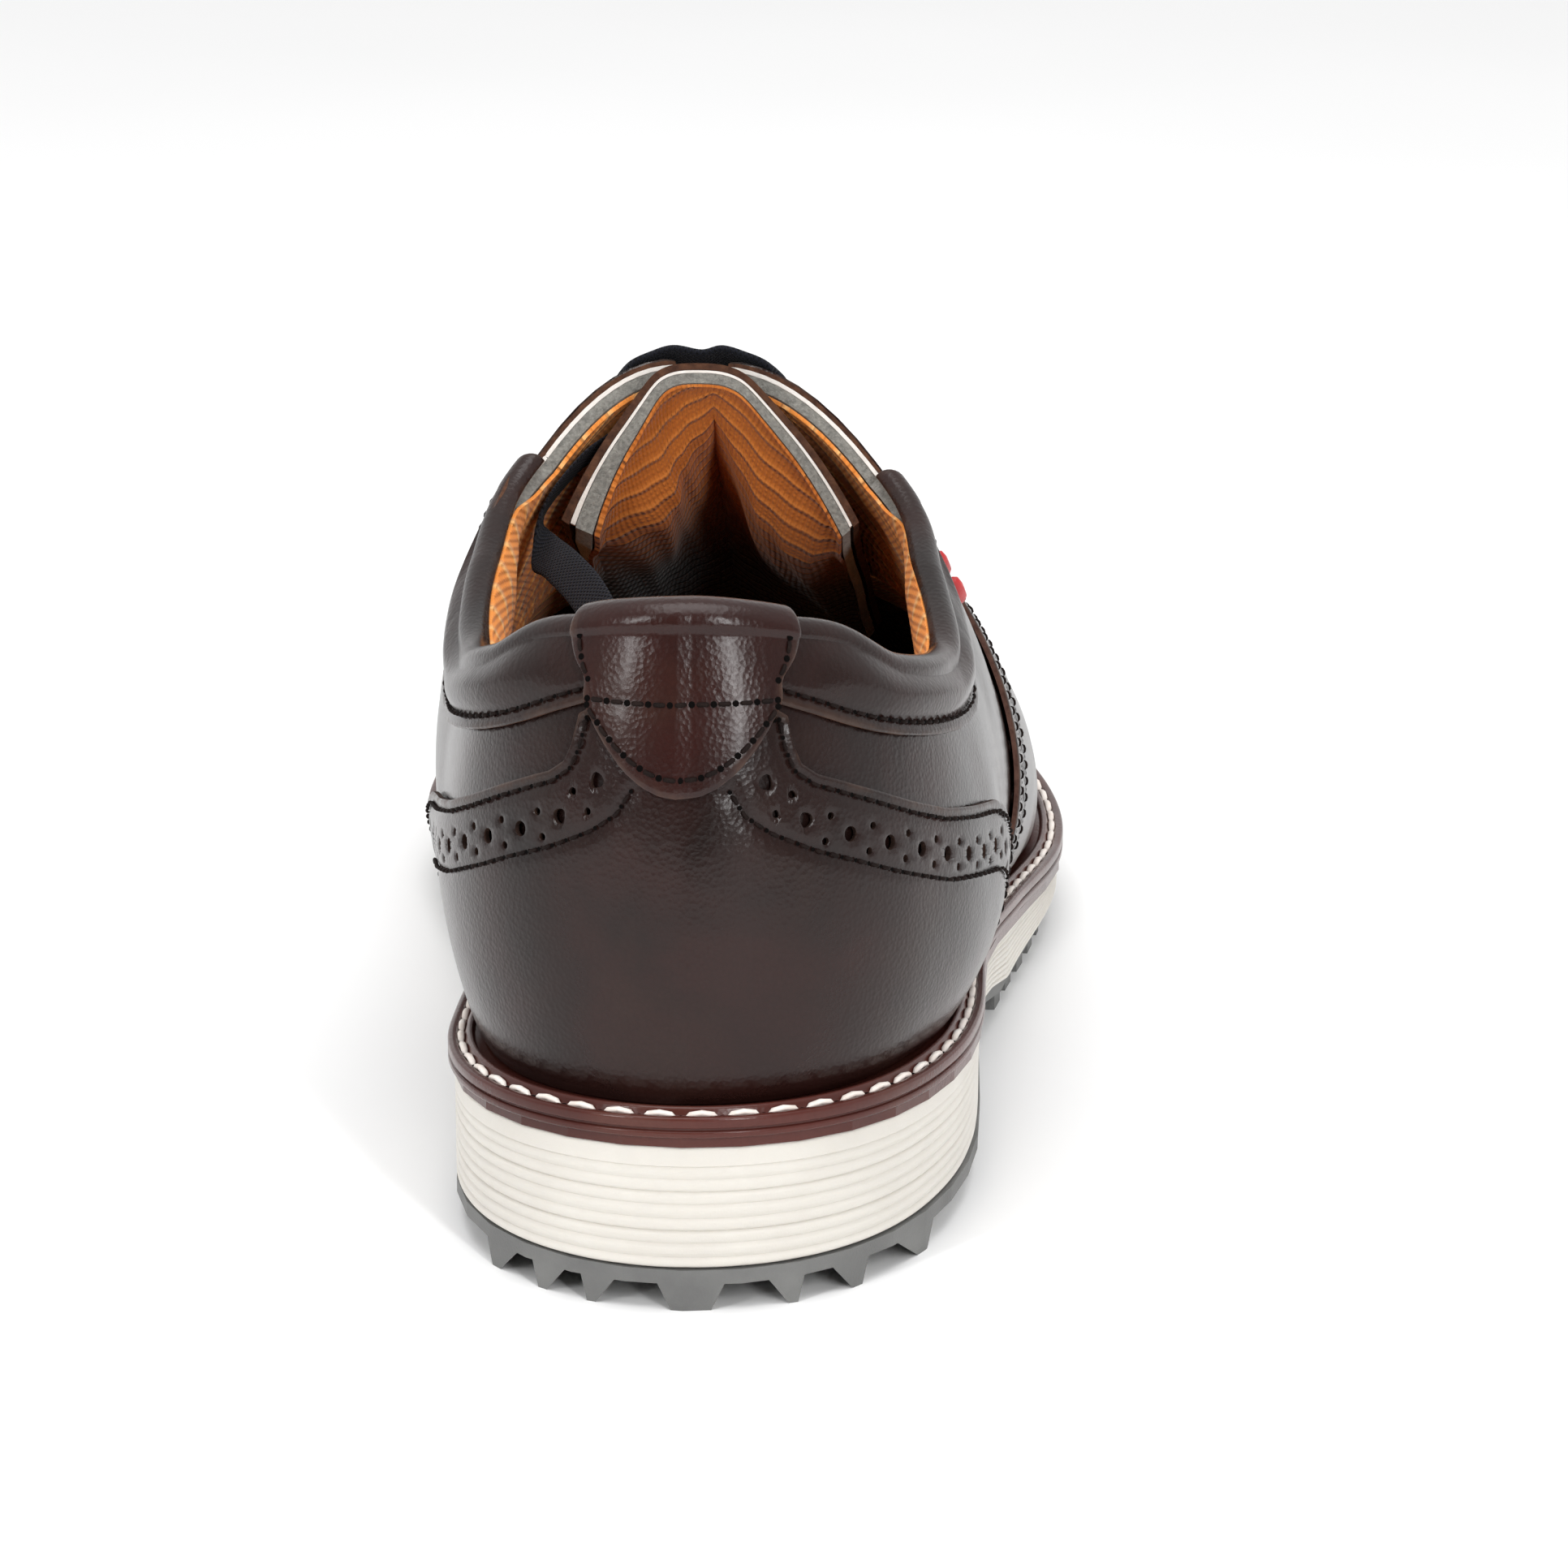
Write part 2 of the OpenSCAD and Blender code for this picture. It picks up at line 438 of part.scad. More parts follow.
// rear edge of the vamp, feather to throat
VAMP_REAR = [[0, 107], [0.3, 121], [0.5, 134], [0.66, 152], [0.76, 167], [0.85, 174], [1, 181]];
module vamp() color([0.31, 0.23, 0.21])
    hood(ACROSS, function (v) cr(VAMP_REAR, v), 15, d_vamp[0], d_vamp[1]);
module vamp_lining() color([0.7, 0.42, 0.2])
    hood([0.01, 0.2, 0.4, 0.6, 0.8, 1], function (v) 130 + 60 * v, 11,
        d_pad[0] + 0.3, d_pad[0] + 0.3 + lining_t);
module toe_puff() color([0.8, 0.78, 0.72])
    hood([0.01, 0.2, 0.4, 0.6, 0.8, 1], function (v) 236 + 12 * v, 6, d_puff[0], d_puff[1]);

// ---- tongue ----
TONGUE_Q = [182, 171, 160, 149, 138, 128, 119, 111, 104];
module tongue_layer(d) {
    n = len(TONGUE_Q) - 1;
    // half span of the tongue either side of the crest, as section fraction
    function edge(s, k) = mix(0.62, s > 0 ? 0.54 : 0.48, k / n);
    // toward its free end the tongue's sides stand clear of the facings
    function tuck(k, t) = 2.4 * (k / n)^2 * (1 - t / 4)^2;
    function row(k, off) = concat(
        [for (t = [0:4]) skin(1, TONGUE_Q[k], mix(edge(1, k), 1, t / 4), off + tuck(k, t))],
        [for (t = [3:-1:0]) skin(-1, TONGUE_Q[k], mix(edge(-1, k), 1, t / 4), off + tuck(k, t))]);
    function grid(off) = [for (k = [0:n]) row(k, off)];
    shell(grid(d[0]), grid(d[1]), true);
}
module tongue_leather() color([0.3, 0.2, 0.17]) tongue_layer(d_tongue);
module tongue_foam() color([0.55, 0.54, 0.51]) tongue_layer(d_foam);
module tongue_lining() color([0.72, 0.42, 0.18]) tongue_layer(d_tlining);

// ---- lacing ----
module eyelets() color([0.2, 0.15, 0.13]) for (s = [1, -1])
    at_eyelets(s) difference() {
        union() {
            translate([0, 0, 0.1]) cylinder(h = 0.5, r = 3.7, $fn = 8);
            translate([0, 0, -3]) cylinder(h = 3.3, r = 2.5, $fn = 8);
        }
        translate([0, 0, -6]) cylinder(h = 8, r = 2, $fn = 8);
    }

// The lace is one ribbon. Each stop on its path is [centre, half-width vector, half thickness].
function stop(s, q, v, off, wq, wv, h) =
    [skin(s, q, v, off), along(s, q, v) * wq + upward(s, q, v) * wv, h];
d_bar = -0.3;                   // depth of the lace lying over the facings
d_under = d_run[1] - 0.1;
// up through an eyelet: [height over the facing, half width along, half width up, half thickness]
function through(s, q, twist) = let (v = eyelet_v(s, q), c = skin(s, q, v, d_quarter[0]))
    [for (t = twist ? [[-5.1, 0, 1.6, 0.6], [-3.3, 0, 1.2, 0.9], [-1.8, 0.85, 0.85, 0.9], [-0.3, 1.2, 0, 0.9]]
            : [[-5.1, 1.6, 0, 0.6], [-3.3, 1.2, 0, 0.9], [-1.8, 1.2, 0, 0.9], [-0.3, 1.2, 0, 0.9]])
        [c + outward(s, q, v) * t[0], along(s, q, v) * t[1] + upward(s, q, v) * t[2], t[3]],
        [c + outward(s, q, v) * 1.5, along(s, q, v) * 1.7, 0.8]];
function climb(s, q) = let (v = eyelet_v(s, q) + 0.035)
    [for (t = [0:2]) stop(s, q, mix(v, 1, t / 3), d_bar, lace_w / 2, 0, 0.75)];
function back(p) = [for (k = [len(p) - 1:-1:0]) p[k]];
function cross_over(a, q, last) = concat(through(a, q, true), climb(a, q),
    [stop(1, q, 1, d_bar, lace_w / 2, 0, 0.75)], back(climb(-a, q)), back(through(-a, q, !last)));
function under_run(s, q0, q1) = [for (t = [0.3, 0.7]) let (q = mix(q0, q1, t))
    stop(s, q, eyelet_v(s, q), d_under, 0, 2.1, 0.4)];
ways = [for (k = [4:-1:0]) k % 2 == 0 ? 1 : -1];
tail = [for (d = [9, 5]) stop(1, rows[4] + d, eyelet_v(1, rows[4] + d), d_under, 0, 2.1, 0.4)];
TUCK_WALL = [[110, 0.68], [106.5, 0.58], [103.5, 0.47]];
TUCK_FREE = [[[-29.4, 98.5, 92.4], [1.8, 1.6, 2]], [[-26, 91.5, 91.4], [2.5, -0.4, 2.3]],
    [[-21.4, 84, 88.6], [2.5, -0.8, 2.4]], [[-17.6, 77, 83.8], [2.4, -1.1, 2.4]],
    [[-15.4, 71, 77.6], [2.2, -1.3, 1.9]], [[-14.4, 67.5, 71.8], [1.5, -0.9, 0.9]]];
lace_path = concat(tail, [for (k = [0:4]) each concat(cross_over(ways[k], rows[4 - k], k == 4),
        k < 4 ? under_run(-ways[k], rows[4 - k], rows[3 - k]) : [])],
    [for (p = TUCK_WALL) stop(-1, p[0], p[1], d_under, 2.6, -1.3 / 3, 0.4)],
    [for (p = TUCK_FREE) [lean(p[0]), p[1], 0.5]]);
module ribbon() {
    n = len(lace_path) - 1;
    edge = [for (k = [0:n]) let (dir = lace_path[min(k + 1, n)][0] - lace_path[max(k - 1, 0)][0])
        unit(cross(dir, lace_path[k][1])) * lace_path[k][2]];
    function face(t) = [for (k = [0:n]) let (c = lace_path[k][0] + edge[k] * t)
        [c - lace_path[k][1], c + lace_path[k][1]]];
    shell(face(1), face(-1));
}
module lace() color([0.12, 0.14, 0.2]) ribbon();

// moulded tip on the tucked lace end
module aglets() color([0.1, 0.1, 0.12]) {
    n = len(TUCK_FREE) - 1;
    e = lean(TUCK_FREE[n][0]);
    u = unit(e - lean(TUCK_FREE[n - 1][0]));
    translate(place(e + u * 1.2)) rotate([0, acos(u[2]), atan2(u[1], u[0])])
        cylinder(h = 9, r = 1.6, $fn = 8);
}

// three red accent bars on the lateral quarter
module accent_bars() color([0.78, 0.18, 0.2]) for (k = [0:2]) {
    q = 116 - k;
    z = heel_z + slip_t + welt_t + [62.4, 58.2, 54.2][k] * kz;
    va = v_rise(1, q - 2.6, z + 1.8);
    vb = v_rise(1, q + 2.6, z - 1.8);
    panel(1, [[q - 2.6, va - 0.011], [q + 2.6, vb - 0.011]],
        [[q - 2.6, va + 0.011], [q + 2.6, vb + 0.011]], 1,
        d_quarter[0] - 1.5, d_quarter[0] - 0.15);
}

outsole();
midsole();
slip_sole();
welt();
welt_thread();
insole_board();
shank();
bottom_filler();
footbed_foam();
footbed_cover();
heel_counter();
toe_puff();
vamp();
vamp_lining();
quarter_lateral();
quarter_medial();
collar_lateral();
collar_medial();
padding_lateral();
padding_medial();
lining_lateral();
lining_medial();
heel_foxing();
heel_tab();
tongue_leather();
tongue_foam();
tongue_lining();
eyelets();
lace();
aglets();
accent_bars();
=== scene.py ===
"""Looks of a right-foot golf shoe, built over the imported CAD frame.

Shapes are worked out in millimetres on the shoe's own stations (heel edge at 0, toe edge at L0) and
placed on the frame through the welt's box. Side 1 is lateral, side -1 is medial.
"""

import math

import bpy
import numpy as np
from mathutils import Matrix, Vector, geometry, kdtree


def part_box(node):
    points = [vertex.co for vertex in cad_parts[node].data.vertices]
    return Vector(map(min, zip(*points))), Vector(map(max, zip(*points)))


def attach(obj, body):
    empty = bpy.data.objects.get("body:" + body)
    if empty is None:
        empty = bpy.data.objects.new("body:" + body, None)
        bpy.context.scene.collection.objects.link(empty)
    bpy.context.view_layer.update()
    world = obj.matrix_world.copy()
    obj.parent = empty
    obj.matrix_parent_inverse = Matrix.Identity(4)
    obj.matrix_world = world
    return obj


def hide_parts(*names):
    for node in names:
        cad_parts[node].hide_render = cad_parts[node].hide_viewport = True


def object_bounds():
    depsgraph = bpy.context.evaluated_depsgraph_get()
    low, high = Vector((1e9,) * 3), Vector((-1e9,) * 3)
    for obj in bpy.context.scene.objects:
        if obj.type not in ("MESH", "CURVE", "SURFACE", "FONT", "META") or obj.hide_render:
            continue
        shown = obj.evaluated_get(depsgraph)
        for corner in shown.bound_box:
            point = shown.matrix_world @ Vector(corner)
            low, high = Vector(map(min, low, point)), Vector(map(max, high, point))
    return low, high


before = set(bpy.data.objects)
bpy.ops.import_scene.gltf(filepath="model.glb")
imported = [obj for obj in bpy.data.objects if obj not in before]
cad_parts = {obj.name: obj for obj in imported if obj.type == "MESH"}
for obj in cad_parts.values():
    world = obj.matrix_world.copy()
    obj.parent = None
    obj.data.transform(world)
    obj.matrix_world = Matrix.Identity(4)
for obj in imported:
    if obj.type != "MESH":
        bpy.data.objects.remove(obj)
cad_lo, cad_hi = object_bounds()

# ------------------------------------------------------------------ shape tables: (station, value), mm
L0 = 302.0
LUG, RUBBER, HEEL_MID, BALL_MID, TOE_RISE, ARCH_H, SLIP, WELT = 4.0, 2.2, 19.0, 4.8, 8.0, 5.5, 1.5, 3.2
HEEL_Z = LUG + RUBBER + HEEL_MID
PITCH = math.radians(3.2)
LEATHER, GAP, LAP, PAD, LINING = 1.1, 0.3, 0.5, 2.2, 0.7
CENTRE = [(0, -1.2), (30, -0.8), (60, 0.8), (90, 0.8), (110, 0), (150, -2), (190, -3.6), (250, -8), (302, -11)]
HALF = {
    1: [(0, 38.2), (30, 38.5), (60, 40.2), (90, 40.3), (110, 41.5), (140, 47.2), (180, 55.2), (210, 56.2),
        (250, 52.5), (302, 49)],
    -1: [(0, 38.2), (30, 38.5), (60, 40.2), (90, 39.6), (110, 39.7), (140, 44.8), (180, 52.8), (207, 55.6),
         (250, 52.5), (302, 49)],
}
SEAM_INSET = [(0, 5.8), (60, 5.8), (85, 7.4), (125, 7.4), (150, 6.5), (200, 6), (302, 6)]
SPINE_X = [(0, 0.4), (50, 0.4), (80, -2), (105, -5), (150, -6), (200, -6), (250, -8), (302, -11)]
SPINE_Z = [(0, 97), (30, 91), (55, 87), (80, 92), (95, 98), (105, 96.5), (112, 92), (125, 83), (140, 73.5),
           (160, 60.5), (180, 50), (200, 43), (220, 39), (250, 36), (302, 33)]
ROUND = {
    1: [(0, 3.2), (30, 3), (55, 2.6), (80, 2.2), (105, 2), (150, 2.1), (200, 2.3), (302, 2.5)],
    -1: [(0, 3.2), (30, 3.1), (55, 3), (80, 3), (105, 2.6), (150, 2.3), (200, 2.3), (302, 2.5)],
}
BULGE = {
    1: [(0, 4), (30, 6.2), (55, 8.6), (80, 12), (105, 13.4), (140, 10), (165, 5), (190, 1.6), (240, 1.5),
        (302, 2)],
    -1: [(0, 4), (30, 6), (55, 9.2), (80, 15), (105, 16.4), (140, 9.6), (180, 5), (240, 4), (302, 3)],
}
TOP = {
    1: [(0, 68.8), (10, 67.8), (18, 65.5), (30, 59), (55, 54.5), (65, 56.5), (90, 66.5), (104, 75.5)],
    -1: [(0, 68.8), (10, 67.8), (18, 65.5), (30, 59.5), (55, 55), (80, 62.5), (95, 71), (104, 77.5)],
}
MID_T = [(0, 1), (60, 0.77), (90, 0.635), (110, 0.52), (140, 0.275), (165, 0.09), (185, 0), (302, 0)]
ARCH = [(0, 0), (60, 0), (75, 0.15), (90, 0.75), (105, 1), (120, 0.6), (135, 0), (302, 0)]
TOE_CURL = [(0, 0), (200, 0), (212, 0.032), (222, 0.095), (232, 0.19), (302, 1)]
PROFILE_Y = [0, 60, 75, 90, 105, 120, 135, 150, 165, 180, 200, 212, 222, 232, 302]
FOOTBED_INSET = [(0, 13.4), (60, 13.4), (90, 15.2), (150, 14.8), (185, 12.4), (210, 11), (302, 11.8)]
HEEL_Q, TOE_Q, GAP_Y, THROAT_Y = 60, 232, 112, 178

D_VAMP = (-0.2, LEATHER - 0.2)
D_QUARTER = (LEATHER + LAP, 2 * LEATHER + LAP)
D_PAD = (D_QUARTER[1] + GAP, D_QUARTER[1] + GAP + PAD)
D_LINING = (D_PAD[1] + GAP, D_PAD[1] + GAP + LINING)
D_RUN = (D_LINING[1] + GAP, D_LINING[1] + GAP + 1)
ROLL_R = (D_LINING[0] - 0.2) / 2


# ------------------------------------------------------------------ curves and the upper's surface
def cr(table, x):
    """Smooth curve through (station, value) points."""
    xs, vs = np.array(table, float).T
    x = np.clip(np.asarray(x, float), xs[0], xs[-1])
    k = np.clip(np.searchsorted(xs, x, side="right") - 1, 0, len(xs) - 2)
    m = np.empty(len(xs))
    m[1:-1] = (vs[2:] - vs[:-2]) / (xs[2:] - xs[:-2])
    m[0], m[-1] = (vs[1] - vs[0]) / (xs[1] - xs[0]), (vs[-1] - vs[-2]) / (xs[-1] - xs[-2])
    h = xs[k + 1] - xs[k]
    u = (x - xs[k]) / h
    return ((2 * u**3 - 3 * u**2 + 1) * vs[k] + (u**3 - 2 * u**2 + u) * h * m[k]
            + (3 * u**2 - 2 * u**3) * vs[k + 1] + (u**3 - u**2) * h * m[k + 1])


def by_side(tables, s, x):
    return np.where(np.asarray(s) > 0, cr(tables[1], x), cr(tables[-1], x))


def mix(a, b, t):
    return a + (b - a) * t


def smooth(x, a, b):
    t = np.clip((np.asarray(x, float) - a) / (b - a), 0, 1)
    return t * t * (3 - 2 * t)


def curl(y):
    return TOE_RISE * np.interp(y, *np.array(TOE_CURL, float).T)


def under(y):
    """Height of the underside: the arch and the curl of the toe."""
    return curl(y) + ARCH_H * np.interp(y, *np.array(ARCH, float).T)


MID_TOP = [LUG + RUBBER + mix(BALL_MID, HEEL_MID, float(cr(MID_T, y))) + float(curl(y)) for y in PROFILE_Y]


def sole_z(y):
    return np.interp(y, PROFILE_Y, MID_TOP)


def seat_z(y):
    return sole_z(y) + SLIP + WELT + 0.2


def lean(p):
    """The upper is drawn with the heel seat level, then leaned toe-down onto the sole."""
    p = np.asarray(p, float)
    y, h = p[..., 1], p[..., 2] - HEEL_Z
    return np.stack([p[..., 0], y * math.cos(PITCH) + h * math.sin(PITCH),
                     HEEL_Z + h * math.cos(PITCH) - y * math.sin(PITCH)], -1)


def last_z(y):
    """The seat as the upper's own frame sees it."""
    return HEEL_Z + (seat_z(y) - HEEL_Z + y * math.sin(PITCH)) / math.cos(PITCH)


def end_round(q):
    return np.sqrt(1 - (1 - np.clip(q, 0, 1)) ** 2.3)


def side_x(s, y, i):
    return (cr(CENTRE, y) + s * (by_side(HALF, s, y) - i) * end_round((y - i) / (50 - i))
            * end_round((L0 - i - y) / (110 - i)))


def station_y(q, i):
    q = np.asarray(q, float)
    heel = i + (HEEL_Q - i) * (1 - np.cos(np.radians(1.5 * q)))
    toe = TOE_Q + (L0 - TOE_Q - i) * np.sin(np.radians(90 * np.clip((q - TOE_Q) / (L0 - TOE_Q), 0, 1)))
    return np.where(q < HEEL_Q, heel, np.where(q <= TOE_Q, q, toe))


def spine_y(y):
    return np.where(y < 15, 45, np.where(y < 75, 45 + (y - 15) ** 2 / 120, y))


def crest_z(y, d):
    base, end = last_z(y), L0 - 6 - d
    q = np.clip((y - 200) / (end - 200), 0, 1)
    top = HEEL_Z + SLIP + WELT + 0.2 + cr(SPINE_Z, y) - d * np.clip((y - 80) / 30, 0, 1)
    return base + (top - base) * (1 - q**2.7) ** (1 / 2.7)


def rise_v(s, q, z):
    """Section fraction at which the outer face of station q reaches height z."""
    y = station_y(q, 5.8)
    f = np.clip((z - last_z(y)) / (crest_z(y, 0) - last_z(y)), 0, 1)
    return np.degrees(np.arcsin(f ** (by_side(ROUND, s, y) / 2))) / 90


def side_v(s, y, g):
    """Section fraction at which the outer face is g away from the crest."""
    r = np.abs(side_x(s, y, cr(SEAM_INSET, y)) - cr(SPINE_X, spine_y(y)))
    return np.degrees(np.arccos(np.clip(g / r, 0, 1) ** (by_side(ROUND, s, y) / 2))) / 90


def skin(s, q, v, d=0.0):
    """Point of the upper: side, station, section fraction, depth below the outer face."""
    s, q, v, d = np.broadcast_arrays(*[np.asarray(x, float) for x in (s, q, v, d)])
    y = station_y(q, np.where(q < 150, 5.8, 6.0) + d)
    inset = cr(SEAM_INSET, y) + d
    fx, ry = side_x(s, y, inset), spine_y(y)
    rx = cr(SPINE_X, ry)
    n = 2 / by_side(ROUND, s, y)
    angle = np.radians(90 * np.clip(v, 0, 1))
    f, g = np.sin(angle) ** n, 1 - np.maximum(np.cos(angle), 0) ** n
    dx, dy = fx - rx, y - ry
    r = np.maximum(np.hypot(dx, dy), 1e-3)
    b = by_side(BULGE, s, y) * np.sin(np.pi * f ** np.where(s > 0, 0.6, 0.75)) * np.minimum(1, r / 15)
    return lean(np.stack([fx - dx * g + dx / r * b, y - dy * g + dy / r * b,
                          mix(last_z(y), crest_z(y, d), f)], -1))


def top_v(s, q):
    y = station_y(q, 5.8)
    z0 = HEEL_Z + SLIP + WELT
    collar = rise_v(s, q, z0 + by_side(TOP, s, y))
    corner = rise_v(s, 104.0, z0 + by_side(TOP, s, 104.0))
    ramp = mix(corner, side_v(s, GAP_Y, 4.3), (q - 104) / 7)
    facing = side_v(s, y, np.maximum(1.6, 4.3 - 2.7 * (q - GAP_Y) / 66))
    return np.where(q <= 104, collar, np.where(q < GAP_Y - 1, ramp, facing))


def roll_over(s, q, v, d, angle):
    """A leather edge turned into the shoe over the top of the padding."""
    c = skin(s, q, v, ROLL_R)
    h = (skin(s, q, v, ROLL_R - 1) - c)[..., :2]
    h = h / np.linalg.norm(h, axis=-1, keepdims=True)
    r, t = ROLL_R - d, np.radians(angle)
    return np.concatenate([c[..., :2] + h * (r * np.cos(t))[..., None],
                           (c[..., 2] + r * np.sin(t) + 0.3)[..., None]], -1)


# ------------------------------------------------------------------ the frame's place
welt_lo, welt_hi = (np.array(c) * 1000 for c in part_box("welt"))
plan_y = station_y(np.linspace(0, L0, 600), 0)
plan_lo, plan_hi = side_x(-1, plan_y, 0).min(), side_x(1, plan_y, 0).max()
KX = (welt_hi[0] - welt_lo[0]) / (plan_hi - plan_lo)
KY = (welt_hi[1] - welt_lo[1]) / L0


def place(p):
    """Millimetres on the shoe's stations to metres in the row frame."""
    p = np.asarray(p, float)
    x, y = (p[..., 0] - plan_lo) * KX + welt_lo[0], p[..., 1] * KY + welt_lo[1]
    return np.stack([x, y, p[..., 2]], -1) / 1000


# ------------------------------------------------------------------ mesh helpers
def unit(v):
    return v / np.maximum(np.linalg.norm(v, axis=-1, keepdims=True), 1e-9)


def noise(p, size, seed=0):
    """Gentle repeatable waviness of 3-D points, about -1 to 1."""
    p = np.asarray(p) / size * 2 * math.pi + seed * 1.7
    x, y, z = p[..., 0], p[..., 1], p[..., 2]
    return (np.sin(x + 1.3 * np.sin(0.7 * y + 0.4)) + np.sin(y * 1.1 + 1.1 * np.sin(0.8 * z + 1.9))
            + np.sin(0.9 * z + 1.2 * np.sin(0.6 * x + 2.7))) / 3


def build(name, verts, faces, mats, ids=None, uv=None, wear=None, body="shoe", slot=None, replaces=(),
          sharp=38):
    """A piece from points in millimetres on the shoe's stations."""
    me = bpy.data.meshes.new(name)
    me.from_pydata(place(verts).tolist(), [], [list(map(int, f)) for f in faces])
    for m in mats:
        me.materials.append(m)
    if ids is not None:
        me.polygons.foreach_set("material_index", np.asarray(ids, np.int32))
    loops = np.empty(len(me.loops), np.int32)
    me.loops.foreach_get("vertex_index", loops)
    if uv is not None:
        layer = me.uv_layers.new(name="mm")
        layer.data.foreach_set("uv", np.asarray(uv, np.float32)[loops].ravel())
    if wear is not None:
        me.attributes.new("wear", "FLOAT", "POINT").data.foreach_set("value", np.asarray(wear, np.float32))
    me.polygons.foreach_set("use_smooth", np.ones(len(me.polygons), bool))
    me.validate()
    me.update()
    me.set_sharp_from_angle(angle=math.radians(sharp))
    ob = bpy.data.objects.new(name, me)
    bpy.context.scene.collection.objects.link(ob)
    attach(ob, body)
    if replaces:
        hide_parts(*replaces)
    return ob


def grid_faces(na, nb, closed_a=False):
    i = np.arange(na if closed_a else na - 1)[:, None]
    j = np.arange(nb - 1)[None, :]
    n = (i + 1) % na
    return np.stack([i * nb + j, n * nb + j, n * nb + j + 1, i * nb + j + 1], -1).reshape(-1, 4)


def thicken(outer, inner, faces):
    """Closed solid between a sheet and its inner twin: vertices, faces, material ids (walls are 1)."""
    n, k = len(outer), faces.shape[1]
    e = np.concatenate([faces[:, [j, (j + 1) % k]] for j in range(k)])
    key = np.sort(e, 1)
    _, first, count = np.unique(key[:, 0].astype(np.int64) * n + key[:, 1], return_index=True,
                                return_counts=True)
    edge = e[first[count == 1]]
    p = outer[faces[:, :3]]
    normal = np.cross(p[:, 1] - p[:, 0], p[:, 2] - p[:, 0])
    flip = (normal * (outer - inner)[faces[:, 0]]).sum() < 0
    if flip:
        faces, edge = faces[:, ::-1], edge[:, ::-1]
    walls = np.stack([edge[:, 1], edge[:, 0], edge[:, 0] + n, edge[:, 1] + n], 1)
    all_faces = list(faces) + list(faces[:, ::-1] + n) + list(walls)
    ids = np.r_[np.zeros(2 * len(faces), int), np.ones(len(walls), int)]
    return np.concatenate([outer, inner]), all_faces, ids


def ticks(length, step):
    """Even steps with two close ones at each end, where an edge rounds over."""
    t = np.linspace(0, 1, max(3, int(round(length / step))) + 1)[1:-1]
    near = np.array([0, 0.22, 0.6]) / length
    t = t[(t > near[-1] * 1.5) & (t < 1 - near[-1] * 1.5)]
    return np.r_[near, t, (1 - near)[::-1]]


